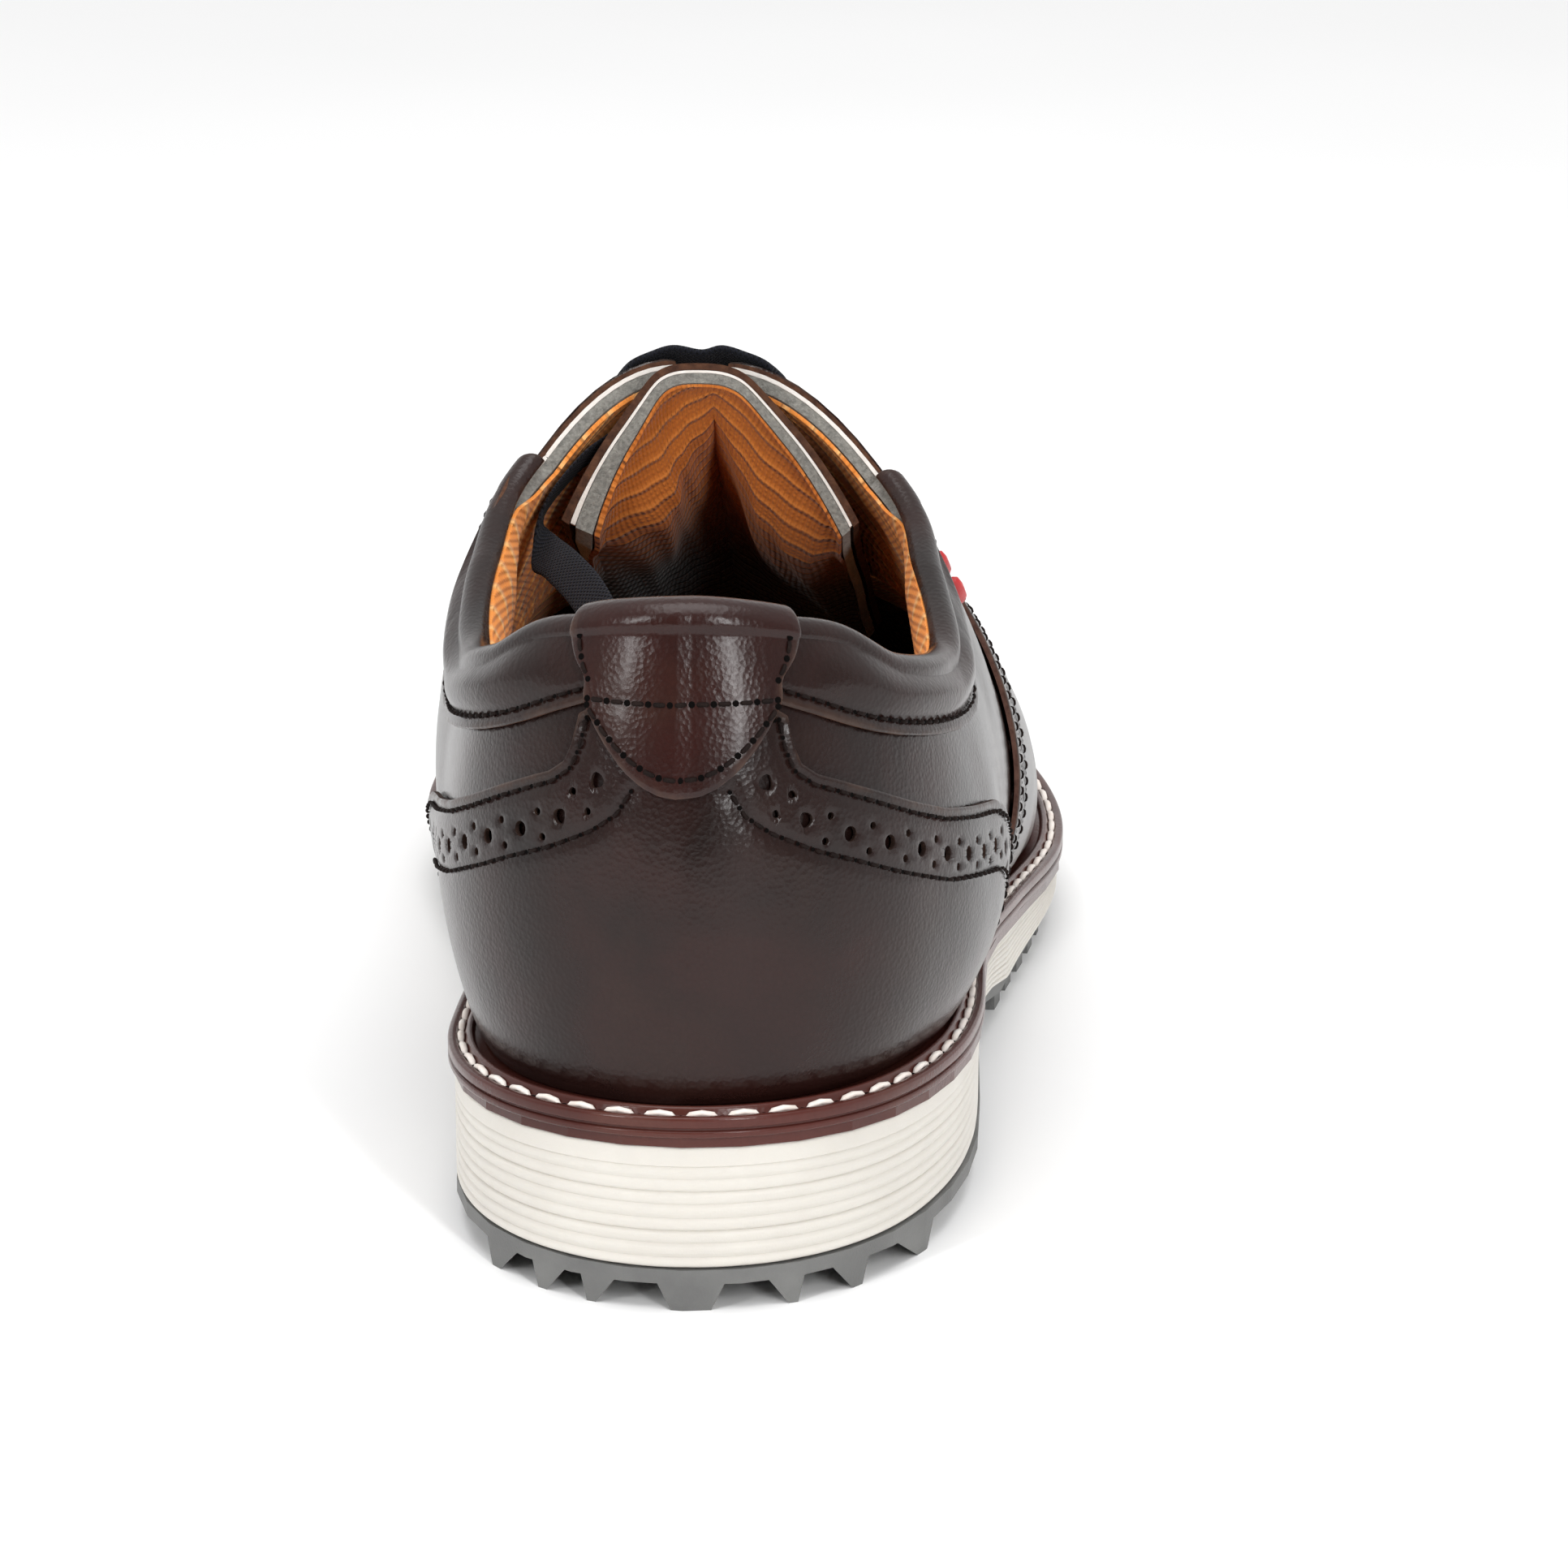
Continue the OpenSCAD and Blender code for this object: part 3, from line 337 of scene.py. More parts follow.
class Sheet:
    """A piece of leather or cloth: f(a, b, depth) gives its points over the unit square."""

    def __init__(self, f, na=200, nb=60):
        self.f = f
        self.a, self.b = np.linspace(0, 1, na + 1), np.linspace(0, 1, nb + 1)
        A, B = np.meshgrid(self.a, self.b, indexing="ij")
        self.P = f(A, B, 0 * A)
        along = np.linalg.norm(np.diff(self.P, axis=0), axis=-1)
        across = np.linalg.norm(np.diff(self.P, axis=1), axis=-1)
        self.sa = np.concatenate([np.zeros((1, nb + 1)), np.cumsum(along, 0)])
        self.sb = np.concatenate([np.zeros((na + 1, 1)), np.cumsum(across, 1)], 1)
        self.len_a, self.len_b = float(np.median(self.sa[-1])), float(np.median(self.sb[:, -1]))

    def look(self, table, a, b):
        x, y = np.clip(a, 0, 1) * (len(self.a) - 1), np.clip(b, 0, 1) * (len(self.b) - 1)
        i, j = np.minimum(x.astype(int), len(self.a) - 2), np.minimum(y.astype(int), len(self.b) - 2)
        u, w = x - i, y - j
        return ((table[i, j] * (1 - u) + table[i + 1, j] * u) * (1 - w)
                + (table[i, j + 1] * (1 - u) + table[i + 1, j + 1] * u) * w)

    def partials(self, a, b, h=2e-3):
        a0, a1, b0, b1 = np.maximum(a - h, 0), np.minimum(a + h, 1), np.maximum(b - h, 0), np.minimum(b + h, 1)
        return ((self.f(a1, b, 0 * a) - self.f(a0, b, 0 * a)) / (a1 - a0)[..., None],
                (self.f(a, b1, 0 * a) - self.f(a, b0, 0 * a)) / (b1 - b0)[..., None])

    def locate(self, target):
        """Unit-square place of the point of the sheet nearest to each target."""
        out = []
        for t in np.atleast_2d(target):
            i, j = np.unravel_index(np.argmin(((self.P - t) ** 2).sum(-1)), self.P.shape[:2])
            a, b = np.array([self.a[i]]), np.array([self.b[j]])
            for _ in range(4):
                pa, pb = self.partials(a, b)
                step = np.linalg.lstsq(np.stack([pa[0], pb[0]], 1), t - self.f(a, b, 0 * a)[0], rcond=None)[0]
                a, b = np.clip(a + step[0], 0, 1), np.clip(b + step[1], 0, 1)
            out.append((a[0], b[0]))
        return np.array(out)

    def margin(self, a, b, open_sides):
        """Distance to the nearest named edge; open_sides holds some of a0 a1 b0 b1."""
        sa, sb = self.look(self.sa, a, b), self.look(self.sb, a, b)
        ways = {"a0": sa, "a1": self.look(self.sa, 0 * a + 1, b) - sa, "b0": sb,
                "b1": self.look(self.sb, a, 0 * b + 1) - sb}
        d = np.full(np.shape(a), 1e3)
        for w in open_sides.split():
            d = np.minimum(d, ways[w])
        return d

    def solid(self, name, d, mats, step=1.5, step_b=None, holes=(), open_sides="a0 a1 b0 b1", soften=0.35,
              relief=None, **kw):
        """The piece between two depths, its edges rounded, with round holes cut through it."""
        ta, tb = ticks(self.len_a, step), ticks(self.len_b, step_b or step)
        A, B = [m.ravel() for m in np.meshgrid(ta, tb, indexing="ij")]
        dip = np.zeros(len(A))
        if len(holes):
            A, B, dip, faces = self.pierce(A, B, holes)
        else:
            faces = grid_faces(len(ta), len(tb))
        edge = self.margin(A, B, open_sides)
        rounding = soften * np.clip(1 - edge / 0.6, 0, 1) ** 2
        lift = relief(A, B) if relief else 0 * A
        outer = self.f(A, B, d[0] + rounding + dip - lift)
        inner = self.f(A, B, d[1] - lift)
        verts, faces, ids = thicken(outer, inner, faces)
        uv = np.stack([self.look(self.sa, A, B), self.look(self.sb, A, B)], 1)
        wear = np.clip(1 - edge / 1.6, 0, 1)
        return build(name, verts, faces, mats, ids, np.r_[uv, uv], np.r_[wear, wear], **kw)

    def pierce(self, A, B, holes):
        """Grid points reknit round circular holes, each with a dished rim."""
        spots = self.locate(np.array([h[0] for h in holes]))
        X = self.f(A, B, 0 * A)
        keep = np.ones(len(A), bool)
        rim_a, rim_b, rim_id, rim_dip = [], [], [], []
        turn = np.linspace(0, 2 * math.pi, 14, endpoint=False)
        for k, ((a, b), (_, r)) in enumerate(zip(spots, holes)):
            a, b = np.array([a]), np.array([b])
            c = self.f(a, b, 0 * a)[0]
            pa, pb = (p[0] for p in self.partials(a, b))
            e1 = unit(pa)
            e2 = unit(pb - pb @ e1 * e1)
            reach = r + 0.4
            keep &= np.linalg.norm(X - c, axis=1) > reach + 0.3
            for rr, dip, tag in ((r, 0.2, k), (reach, 0.0, -1)):
                db = rr * np.sin(turn) / (pb @ e2)
                da = (rr * np.cos(turn) - db * (pb @ e1)) / np.linalg.norm(pa)
                rim_a.append(a + da), rim_b.append(b + db)
                rim_id.append(np.full(14, tag)), rim_dip.append(np.full(14, dip))
        A, B = np.r_[A[keep], np.concatenate(rim_a)], np.r_[B[keep], np.concatenate(rim_b)]
        tag = np.r_[np.full(keep.sum(), -1), np.concatenate(rim_id)]
        dip = np.r_[np.zeros(keep.sum()), np.concatenate(rim_dip)]
        flat = [Vector((x, y)) for x, y in zip(A * self.len_a, B * self.len_b)]
        res = geometry.delaunay_2d_cdt(flat, [], [], 0, 1e-5)
        source = np.array([o[0] for o in res[3]])
        tri = source[np.array(res[2])]
        t = tag[tri]
        inside = (t[:, 0] >= 0) & (t[:, 0] == t[:, 1]) & (t[:, 1] == t[:, 2])
        return A, B, dip, tri[~inside]


def tube_faces(rings, m):
    """Faces of a closed tube of the given number of rings of m points."""
    faces = [(r * m + k, r * m + (k + 1) % m, (r + 1) * m + (k + 1) % m, (r + 1) * m + k)
             for r in range(rings - 1) for k in range(m)]
    return faces + [tuple(range(m))[::-1], tuple((rings - 1) * m + k for k in range(m))]


def surface_path(s, q, v, d=0.0, n=None):
    """Points and outward normals of a line on the upper."""
    s, q, v = np.broadcast_arrays(*[np.asarray(x, float) for x in (s, q, v)])
    P, h = skin(s, q, v, d), 0.01
    tq = skin(s, q + 0.2, v, d) - skin(s, np.maximum(q - 0.2, 0), v, d)
    tv = skin(s, q, np.minimum(v + h, 1), d) - skin(s, q, np.maximum(v - h, 0), d)
    return P, unit(np.cross(tq, tv)) * s[..., None]


def shift(s, q, v, distance):
    """A line on the upper moved sideways along the surface; positive goes towards the sole."""
    s, q, v = np.broadcast_arrays(*[np.asarray(x, float) for x in (s, q, v)])
    q0, q1, v0, v1 = np.maximum(q - 0.3, 0), q + 0.3, np.maximum(v - 0.01, 0), np.minimum(v + 0.01, 1)
    tq = (skin(s, q1, v) - skin(s, q0, v)) / (q1 - q0)[:, None]
    tv = (skin(s, q, v1) - skin(s, q, v0)) / (v1 - v0)[:, None]
    P = skin(s, q, v)
    t = unit(np.gradient(P, axis=0))
    side = unit(np.cross(t, unit(np.cross(tq, tv))))
    if side[:, 2].sum() > 0:
        side = -side
    new_q, new_v = q.copy(), v.copy()
    for k in range(len(q)):
        step = np.linalg.lstsq(np.stack([tq[k], tv[k]], 1), side[k] * distance, rcond=None)[0]
        new_q[k], new_v[k] = q[k] + step[0], v[k] + step[1]
    return s, np.maximum(new_q, 0), np.clip(new_v, 0, 1)


def resample(P, N, at):
    s = np.r_[0, np.cumsum(np.linalg.norm(np.diff(P, axis=0), axis=1))]
    return (np.stack([np.interp(at, s, P[:, k]) for k in range(3)], 1),
            unit(np.stack([np.interp(at, s, N[:, k]) for k in range(3)], 1)))


def length_of(P):
    return float(np.linalg.norm(np.diff(P, axis=0), axis=1).sum())


STITCH_T = np.array([-1, -0.72, 0, 0.72, 1])
STITCH_H = np.array([-0.5, 0.35, 0.75, 0.35, -0.5])


def stitches(name, lines, pitch, dash, radius, mats, shade_disc_r=0.42, lift=1.0, sides=6, **kw):
    """Sewn rows: each stitch is a short rounded thread dipping into a needle hole at both ends; each hole is a
    dark disc of painted shade.
    """
    verts, faces, ids = [], [], []
    ring = np.linspace(0, 2 * math.pi, sides, endpoint=False)
    for P, N in lines:
        total = length_of(P)
        count = max(1, int(total / pitch))
        for k in range(count):
            mid = (k + 0.5) * total / count
            C, n = resample(P, N, mid + STITCH_T * dash / 2)
            t = unit(np.gradient(C, axis=0))
            side = unit(np.cross(t, n))
            wide = radius * np.array([0.55, 0.95, 1, 0.95, 0.55])
            C = C + n * (STITCH_H * radius * lift)[:, None]
            pts = (C[:, None] + side[:, None] * (np.cos(ring)[None, :] * wide[:, None])[..., None]
                   + n[:, None] * (np.sin(ring)[None, :] * wide[:, None] * 0.8)[..., None])
            base = sum(map(len, verts))
            verts.append(pts.reshape(-1, 3))
            new = tube_faces(5, sides)
            faces += [tuple(base + i for i in f) for f in new]
            ids += [0] * len(new)
        # painted shade: a near-black flat cap on the surface at each needle hole stands in for the shadow inside
        # the hole
        if shade_disc_r:
            C, n = resample(P, N, np.arange(count + 1) * total / count)
            t = unit(np.gradient(C, axis=0))
            side = unit(np.cross(t, n))
            disc = np.linspace(0, 2 * math.pi, 8, endpoint=False)
            for c, nn, tt, ss in zip(C, n, t, side):
                base = sum(map(len, verts))
                low = c + nn * 0.02 + shade_disc_r * (np.cos(disc)[:, None] * tt + np.sin(disc)[:, None] * ss)
                verts.append(np.concatenate([low, [c + nn * 0.09]]))
                faces += [(base + j, base + (j + 1) % 8, base + 8) for j in range(8)]
                faces.append(tuple(base + j for j in range(8))[::-1])
                ids += [1] * 9
    return build(name, np.concatenate(verts), faces, mats, ids, sharp=80, **kw)


# ------------------------------------------------------------------ materials
def add(nt, kind, props=(), **inputs):
    """A shader node; an input is a value or another node's socket, and _3 means input number 3."""
    node = nt.nodes.new("ShaderNode" + kind)
    for k, v in dict(props).items():
        setattr(node, k, v)
    for k, v in inputs.items():
        socket = node.inputs[int(k[1:])] if k[0] == "_" else node.inputs[k.replace("_", " ")]
        if isinstance(v, bpy.types.NodeSocket):
            nt.links.new(v, socket)
        else:
            socket.default_value = v
    return node


def rgb(r, g, b):
    """Linear colour from display values 0 to 255."""
    return tuple(c / 255 / 12.92 if c <= 10 else ((c / 255 + 0.055) / 1.055) ** 2.4 for c in (r, g, b)) + (1.0,)


def ramp(nt, fac, *stops):
    node = add(nt, "ValToRGB", Fac=fac)
    e = node.color_ramp.elements
    while len(e) < len(stops):
        e.new(0.5)
    for k, (pos, col) in enumerate(stops):
        e[k].position, e[k].color = pos, col if isinstance(col, tuple) else (col, col, col, 1)
    return node.outputs["Color"]


def blend_col(nt, fac, a, b):
    return add(nt, "Mix", {"data_type": "RGBA"}, _0=fac, _6=a, _7=b).outputs[2]


def math_node(nt, op, a, b=0.0, c=0.0):
    return add(nt, "Math", {"operation": op}, _0=a, _1=b, _2=c).outputs[0]


class Finish:
    """A material under construction: object coordinates in metres, the piece's own uv in millimetres."""

    def __init__(self, name):
        self.mat = bpy.data.materials.new(name)
        self.mat.use_nodes = True
        self.nt = self.mat.node_tree
        self.bsdf = self.nt.nodes["Principled BSDF"]
        coord = add(self.nt, "TexCoord")
        self.at, self.uv = coord.outputs["Object"], coord.outputs["UV"]
        self.normal = None

    def noise(self, size, detail=3.0, rough=0.55, distort=0.0):
        """Noise whose features are about size millimetres."""
        return add(self.nt, "TexNoise", Vector=self.at, Scale=1000 / size, Detail=detail, Roughness=rough,
                   Distortion=distort).outputs["Fac"]

    def cells(self, size):
        return add(self.nt, "TexVoronoi", Vector=self.at, Scale=1000 / size).outputs["Distance"]

    def attr(self, name):
        return add(self.nt, "Attribute", {"attribute_name": name}).outputs["Fac"]

    def bump(self, height, depth_mm, strength=1.0):
        inputs = dict(Height=height, Distance=depth_mm / 1000, Strength=strength)
        if self.normal is not None:
            inputs["Normal"] = self.normal
        self.normal = add(self.nt, "Bump", **inputs).outputs["Normal"]

    def lines(self, axis, pitch):
        """0 to 1 wave along one uv direction, with the given pitch in millimetres."""
        xyz = add(self.nt, "SeparateXYZ", Vector=self.uv)
        angle = math_node(self.nt, "MULTIPLY_ADD", xyz.outputs[axis], 2 * math.pi / pitch)
        return math_node(self.nt, "MULTIPLY_ADD", math_node(self.nt, "SINE", angle), 0.5, 0.5)

    def done(self, color, rough, **inputs):
        values = dict(Base_Color=color, Roughness=rough, **inputs)
        for k, v in values.items():
            socket = self.bsdf.inputs[k.replace("_", " ")]
            if isinstance(v, bpy.types.NodeSocket):
                self.nt.links.new(v, socket)
            else:
                socket.default_value = v
        if self.normal is not None:
            self.nt.links.new(self.normal, self.bsdf.inputs["Normal"])
        return self.mat


def leather(name, dark, warm, light, edge, grain=1.0):
    f = Finish(name)
    nt = f.nt
    patch = ramp(nt, f.noise(42, 3, 0.6, distort=0.6), (0.36, dark), (0.62, warm))
    pale = math_node(nt, "MULTIPLY", ramp_value(nt, f.noise(23, 4), 0.5, 0.75), 0.55)
    col = blend_col(nt, pale, patch, light)
    pores = f.cells(0.75)
    fine = f.noise(0.5, 3)
    col = blend_col(nt, math_node(nt, "MULTIPLY", pores, 0.22), col, dark)
    wear = math_node(nt, "MULTIPLY", f.attr("wear"), ramp_value(nt, f.noise(5, 3), 0.35, 0.7))
    col = blend_col(nt, math_node(nt, "MULTIPLY", wear, 0.55), col, edge)
    rough = math_node(nt, "MULTIPLY_ADD", f.noise(9, 4), 0.12, 0.19)
    rough = math_node(nt, "MULTIPLY_ADD", wear, 0.2, rough)
    f.bump(f.noise(14, 2), 0.4, 0.3)
    f.bump(pores, 0.06 * grain, 0.8)
    f.bump(fine, 0.04 * grain, 0.6)
    return f.done(col, rough, Specular_IOR_Level=0.22, Coat_Weight=0.14, Coat_Roughness=0.16)


def ramp_value(nt, value, lo, hi):
    return add(nt, "MapRange", {"interpolation_type": "SMOOTHSTEP"}, Value=value, From_Min=lo,
               From_Max=hi).outputs[0]


def raw_edge(name, col, other):
    f = Finish(name)
    mixed = ramp(f.nt, f.noise(1.6, 4), (0.35, col), (0.7, other))
    f.bump(f.noise(0.6, 4), 0.2)
    return f.done(mixed, 0.85, Specular_IOR_Level=0.2)


def textile(name, base, shade, rib, pitch, fine, painted_shade_heights):
    """Ribbed lining cloth: raised ridges across, fine ribs along, with painted shade fading to near black below
    the given heights, m.
    """
    f = Finish(name)
    nt = f.nt
    ridge = math_node(nt, "POWER", f.lines("X", pitch), 6.0)
    small = f.lines("Y", fine)
    weave = math_node(nt, "MULTIPLY", small, f.lines("X", 0.8))
    col = ramp(nt, f.noise(12, 4), (0.3, shade), (0.7, base))
    col = blend_col(nt, math_node(nt, "MULTIPLY", math_node(nt, "SUBTRACT", 1.0, small), 0.4), col, shade)
    col = blend_col(nt, math_node(nt, "MULTIPLY", ridge, 0.55), col, rib)
    z = add(nt, "SeparateXYZ", Vector=f.at).outputs["Z"]
    # painted shade: below the given heights the cloth is mixed towards near black, standing in for the shadow
    # deep inside the shoe
    low = math_node(nt, "SUBTRACT", 1.0, ramp_value(nt, z, painted_shade_heights[1], painted_shade_heights[0]))
    col = blend_col(nt, low, col, rgb(14, 12, 12))
    f.bump(ridge, 0.5, 0.8)
    f.bump(small, 0.2, 0.6)
    f.bump(weave, 0.15, 0.5)
    f.bump(f.noise(0.4, 3), 0.12, 0.7)
    return f.done(col, 0.86, Specular_IOR_Level=0.25, Sheen_Weight=0.12, Sheen_Roughness=0.5)


def felt(name, a, b):
    f = Finish(name)
    col = ramp(f.nt, f.noise(0.8, 5, 0.7), (0.3, a), (0.7, b))
    f.bump(f.noise(0.7, 5, 0.7), 0.5)
    return f.done(col, 0.95, Specular_IOR_Level=0.15, Sheen_Weight=0.4, Sheen_Roughness=0.6)


def moulded(name, a, b, rough, size=8.0, bump=0.08, **inputs):
    """Moulded rubber, foam, board or metal with slight mottling and a fine surface texture."""
    f = Finish(name)
    col = ramp(f.nt, f.noise(size, 5, 0.6), (0.3, a), (0.72, b))
    r = math_node(f.nt, "MULTIPLY_ADD", f.noise(3, 4), 0.18, rough - 0.09)
    f.bump(f.noise(0.35, 4), bump)
    return f.done(col, r, **inputs)


def cord(name, a, b, pitch):
    """Braided lace or thread: slanted strands in relief."""
    f = Finish(name)
    nt = f.nt
    xyz = add(nt, "SeparateXYZ", Vector=f.uv)
    k = 2 * math.pi / pitch
    s1, s2 = (math_node(nt, "SINE", math_node(nt, "MULTIPLY", math_node(nt, op, *xyz.outputs[:2]), k))
              for op in ("ADD", "SUBTRACT"))
    weave = math_node(nt, "MULTIPLY_ADD", math_node(nt, "MAXIMUM", s1, s2), 0.5, 0.5)
    col = ramp(nt, weave, (0.25, a), (0.95, b))
    f.bump(weave, 0.35)
    f.bump(f.noise(0.25, 3), 0.08)
    return f.done(col, 0.75, Specular_IOR_Level=0.2, Sheen_Weight=0.05, Sheen_Roughness=0.5)


UPPER = leather("upper_leather", rgb(25, 16, 14), rgb(42, 22, 19), rgb(46, 31, 25), rgb(80, 57, 44))
UPPER_FRONT = leather("upper_leather_front", rgb(32, 22, 20), rgb(42, 26, 23), rgb(56, 40, 34),
                      rgb(92, 66, 52), 0.8)
TAB = leather("tab_leather", rgb(30, 18, 16), rgb(48, 23, 20), rgb(56, 37, 29), rgb(84, 58, 43), 1.0)
TONGUE = leather("tongue_leather", rgb(58, 35, 28), rgb(74, 44, 34), rgb(84, 56, 43), rgb(98, 68, 50), 0.8)
WELT_M = leather("welt_leather", rgb(62, 29, 24), rgb(84, 42, 36), rgb(92, 60, 50), rgb(110, 74, 62), 0.5)
EDGE = raw_edge("leather_cut_edge", rgb(66, 43, 33), rgb(98, 66, 48))
EDGE_DARK = raw_edge("leather_dark_edge", rgb(40, 27, 23), rgb(66, 46, 37))
EDGE_PINK = raw_edge("vamp_cut_edge", rgb(96, 68, 58), rgb(70, 46, 39))
# The last pair of each lining gives the heights, m, over which painted shade darkens the cloth towards the
# inside of the shoe.
LINING_M = textile("lining_textile", rgb(244, 154, 72), rgb(226, 136, 58), rgb(255, 208, 140), 6.2, 1.25,
                   (0.056, 0.03))
TONGUE_LINING = textile("tongue_textile", rgb(210, 122, 48), rgb(178, 98, 36), rgb(222, 138, 64), 3.1, 1.3,
                        (0.096, 0.07))
FELT = felt("padding_felt", rgb(104, 103, 98), rgb(168, 166, 158))
TAPE = moulded("edge_tape", rgb(232, 226, 218), rgb(250, 246, 240), 0.7, 3.0)
THREAD_DARK = moulded("upper_thread", rgb(18, 12, 11), rgb(32, 22, 19), 0.7, 2.0, Specular_IOR_Level=0.1)
THREAD_LIGHT = moulded("welt_thread", rgb(236, 222, 212), rgb(252, 246, 240), 0.65, 2.0)
# near-black painted shade for the needle holes
NEEDLE_HOLE_SHADE = moulded("needle_hole_shade", rgb(6, 5, 5), rgb(12, 9, 8), 0.9, 2.0, Specular_IOR_Level=0.05)
MIDSOLE = moulded("midsole_foam", rgb(208, 203, 195), rgb(218, 214, 206), 0.5, 30.0, 0.05,
                  Subsurface_Weight=0.06, Subsurface_Radius=(0.002, 0.0015, 0.001))
RUBBER_M = moulded("outsole_rubber", rgb(100, 100, 99), rgb(120, 120, 118), 0.6, 12.0)
# The footbed is a dark material, darkened to near black as painted shade for the shadowed inside of the shoe.
FOOTBED_FOAM_SHADE_DARK = moulded("footbed_foam", rgb(24, 25, 30), rgb(40, 42, 50), 0.85, 3.0)
FOOTBED_COVER_SHADE_DARK = moulded("footbed_cover", rgb(14, 14, 17), rgb(26, 26, 30), 0.85, 2.0)
# dark board, darkened further as painted shade so that where it shows at the waist it reads as shadow
SHADE_DARK_BOARD = moulded("board", rgb(44, 38, 33), rgb(60, 51, 44), 0.85, 5.0)
CORK = moulded("cork", rgb(120, 84, 52), rgb(176, 132, 90), 0.85, 2.0, 0.3)
STEEL = moulded("shank_steel", rgb(130, 134, 140), rgb(160, 164, 170), 0.35, 8.0, 0.02, Metallic=1.0)
STIFF = moulded("stiffener", rgb(186, 182, 168), rgb(206, 202, 190), 0.75, 5.0)
METAL = moulded("eyelet_metal", rgb(46, 36, 32), rgb(74, 58, 50), 0.35, 3.0, 0.02, Metallic=0.85)
RED = moulded("accent_red", rgb(176, 34, 38), rgb(204, 48, 50), 0.4, 4.0)
LACE_M = cord("lace_cord", rgb(6, 7, 12), rgb(21, 23, 33), 0.9)
TIP = moulded("aglet_plastic", rgb(16, 16, 20), rgb(26, 26, 32), 0.3, 3.0, 0.02)
for node_name, material in dict(outsole=RUBBER_M, slip_sole=WELT_M, insole_board=SHADE_DARK_BOARD, shank=STEEL,
                                bottom_filler=CORK, heel_counter=STIFF, toe_puff=STIFF).items():
    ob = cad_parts[node_name]
    ob.data.materials.clear()
    ob.data.materials.append(material)

# ------------------------------------------------------------------ sole
STATIONS = np.r_[np.linspace(0, 60, 41), np.linspace(62, 232, 86), np.linspace(234, L0, 47)]


def rim(points):
    """Points right round the shoe for a section given as (inset, height(y)) pairs: (stations, section, 3)."""
    rows = []
    for s, qs in ((1, STATIONS), (-1, STATIONS[-2:0:-1])):
        for q in qs:
            row = []
            for i, z in points:
                y = float(station_y(q, i))
                row.append((float(side_x(s, y, i)), y, float(z(y))))
            rows.append(row)
    return np.array(rows)


def rim_piece(name, section, mats, **kw):
    P = rim(section)
    n, m = P.shape[:2]
    faces = grid_faces(n, m, closed_a=True)
    i = np.arange(n)
    seam = np.stack([i * m + m - 1, ((i + 1) % n) * m + m - 1, ((i + 1) % n) * m, i * m], 1)
    faces = np.concatenate([faces, seam])[:, ::-1]
    along = np.r_[0, np.cumsum(np.linalg.norm(np.diff(P[:, 0], axis=0), axis=1))]
    across = np.r_[0, np.cumsum(np.linalg.norm(np.diff(P[0], axis=0), axis=1))]
    uv = np.stack(np.meshgrid(along, across, indexing="ij"), -1).reshape(-1, 2)
    return build(name, P.reshape(-1, 3), faces, mats, uv=uv, **kw)


RIBS, TOP_BAND = 8, 0.16
heights = np.linspace(0, 1, 90)


def rib_inset(t):
    """Side wall of the midsole: soft horizontal ribs under a plain top band."""
    u = np.clip(t / (1 - TOP_BAND), 0, 1) * RIBS
    groove = 0.6 * (1 - np.abs(np.sin(np.pi * u)) ** 0.45) * (t < 1 - TOP_BAND + 1e-6)
    return 1.0 + groove + 0.9 * np.clip(1 - t / 0.05, 0, 1) ** 2 + 0.4 * np.clip((t - 0.97) / 0.03, 0, 1) ** 2


def mid_height(t):
    return lambda y: mix(LUG + RUBBER + under(y), sole_z(y), t)


midsole_side = [(float(rib_inset(t)), mid_height(t)) for t in heights]
rim_piece("midsole_foam", midsole_side + [(18.0, mid_height(1.0)), (18.0, mid_height(0.0))], [MIDSOLE],
          slot="midsole_foam", replaces=["midsole"], sharp=50)


def welt_line(h):
    return lambda y: sole_z(y) + SLIP + h


WELT_SECTION = [(0.5, 0), (0.12, 0.08), (0, 0.3), (0, 0.85), (0.08, 1), (0.5, 1.12), (0.5, 1.42), (0.08, 1.55),
                (0, 1.75), (0, 2.75), (0.1, 3), (0.32, 3.16), (0.6, 3.2), (1.15, 3.2), (1.4, 3.08), (1.55, 2.75),
                (2.45, 2.7), (2.62, 2.9), (2.72, 3.5), (2.95, 3.88), (3.25, 4), (3.6, 3.96), (3.85, 3.7),
                (4, 3.3), (4.2, 3.2), (8.2, 3.15), (8.2, 0)]
rim_piece("welt_strip", [(i, welt_line(h)) for i, h in WELT_SECTION], [WELT_M], slot="welt_leather",
          replaces=["welt"], sharp=55)
track = rim([(2.0, welt_line(2.82))])[:, 0]
track = np.concatenate([track, track[:1]])
stitches("welt_stitching", [(track, np.tile([0.0, 0, 1], (len(track), 1)))], 6.1, 5.0, 0.55,
         [THREAD_LIGHT, NEEDLE_HOLE_SHADE], shade_disc_r=0.45, lift=1.3, sides=8, slot="welt_thread", replaces=["welt_thread"])


def footbed(name, lo, hi, cup, mats, **kw):
    A, B = np.meshgrid(np.linspace(0, 1, 120), np.linspace(-1, 1, 41), indexing="ij")
    q, t = A.ravel() * (L0 - 1) + 0.5, B.ravel()
    y = station_y(q, np.where(q < 150, 13.4, 11.0))
    inset = cr(FOOTBED_INSET, y)
    x = mix(side_x(-1, y, inset), side_x(1, y, inset), (t + 1) / 2)
    up = cup * np.abs(t) ** 4 * (1 - smooth(y, 80, 140))
    top = np.stack([x, y, seat_z(y) + hi + up], 1)
    low = np.stack([x, y, seat_z(y) + lo + 0 * up], 1) if lo < 1 else np.stack([x, y, seat_z(y) + lo + up], 1)
    verts, faces, ids = thicken(top, low, grid_faces(120, 41))
    build(name, verts, faces, mats, ids, body="footbed", **kw)


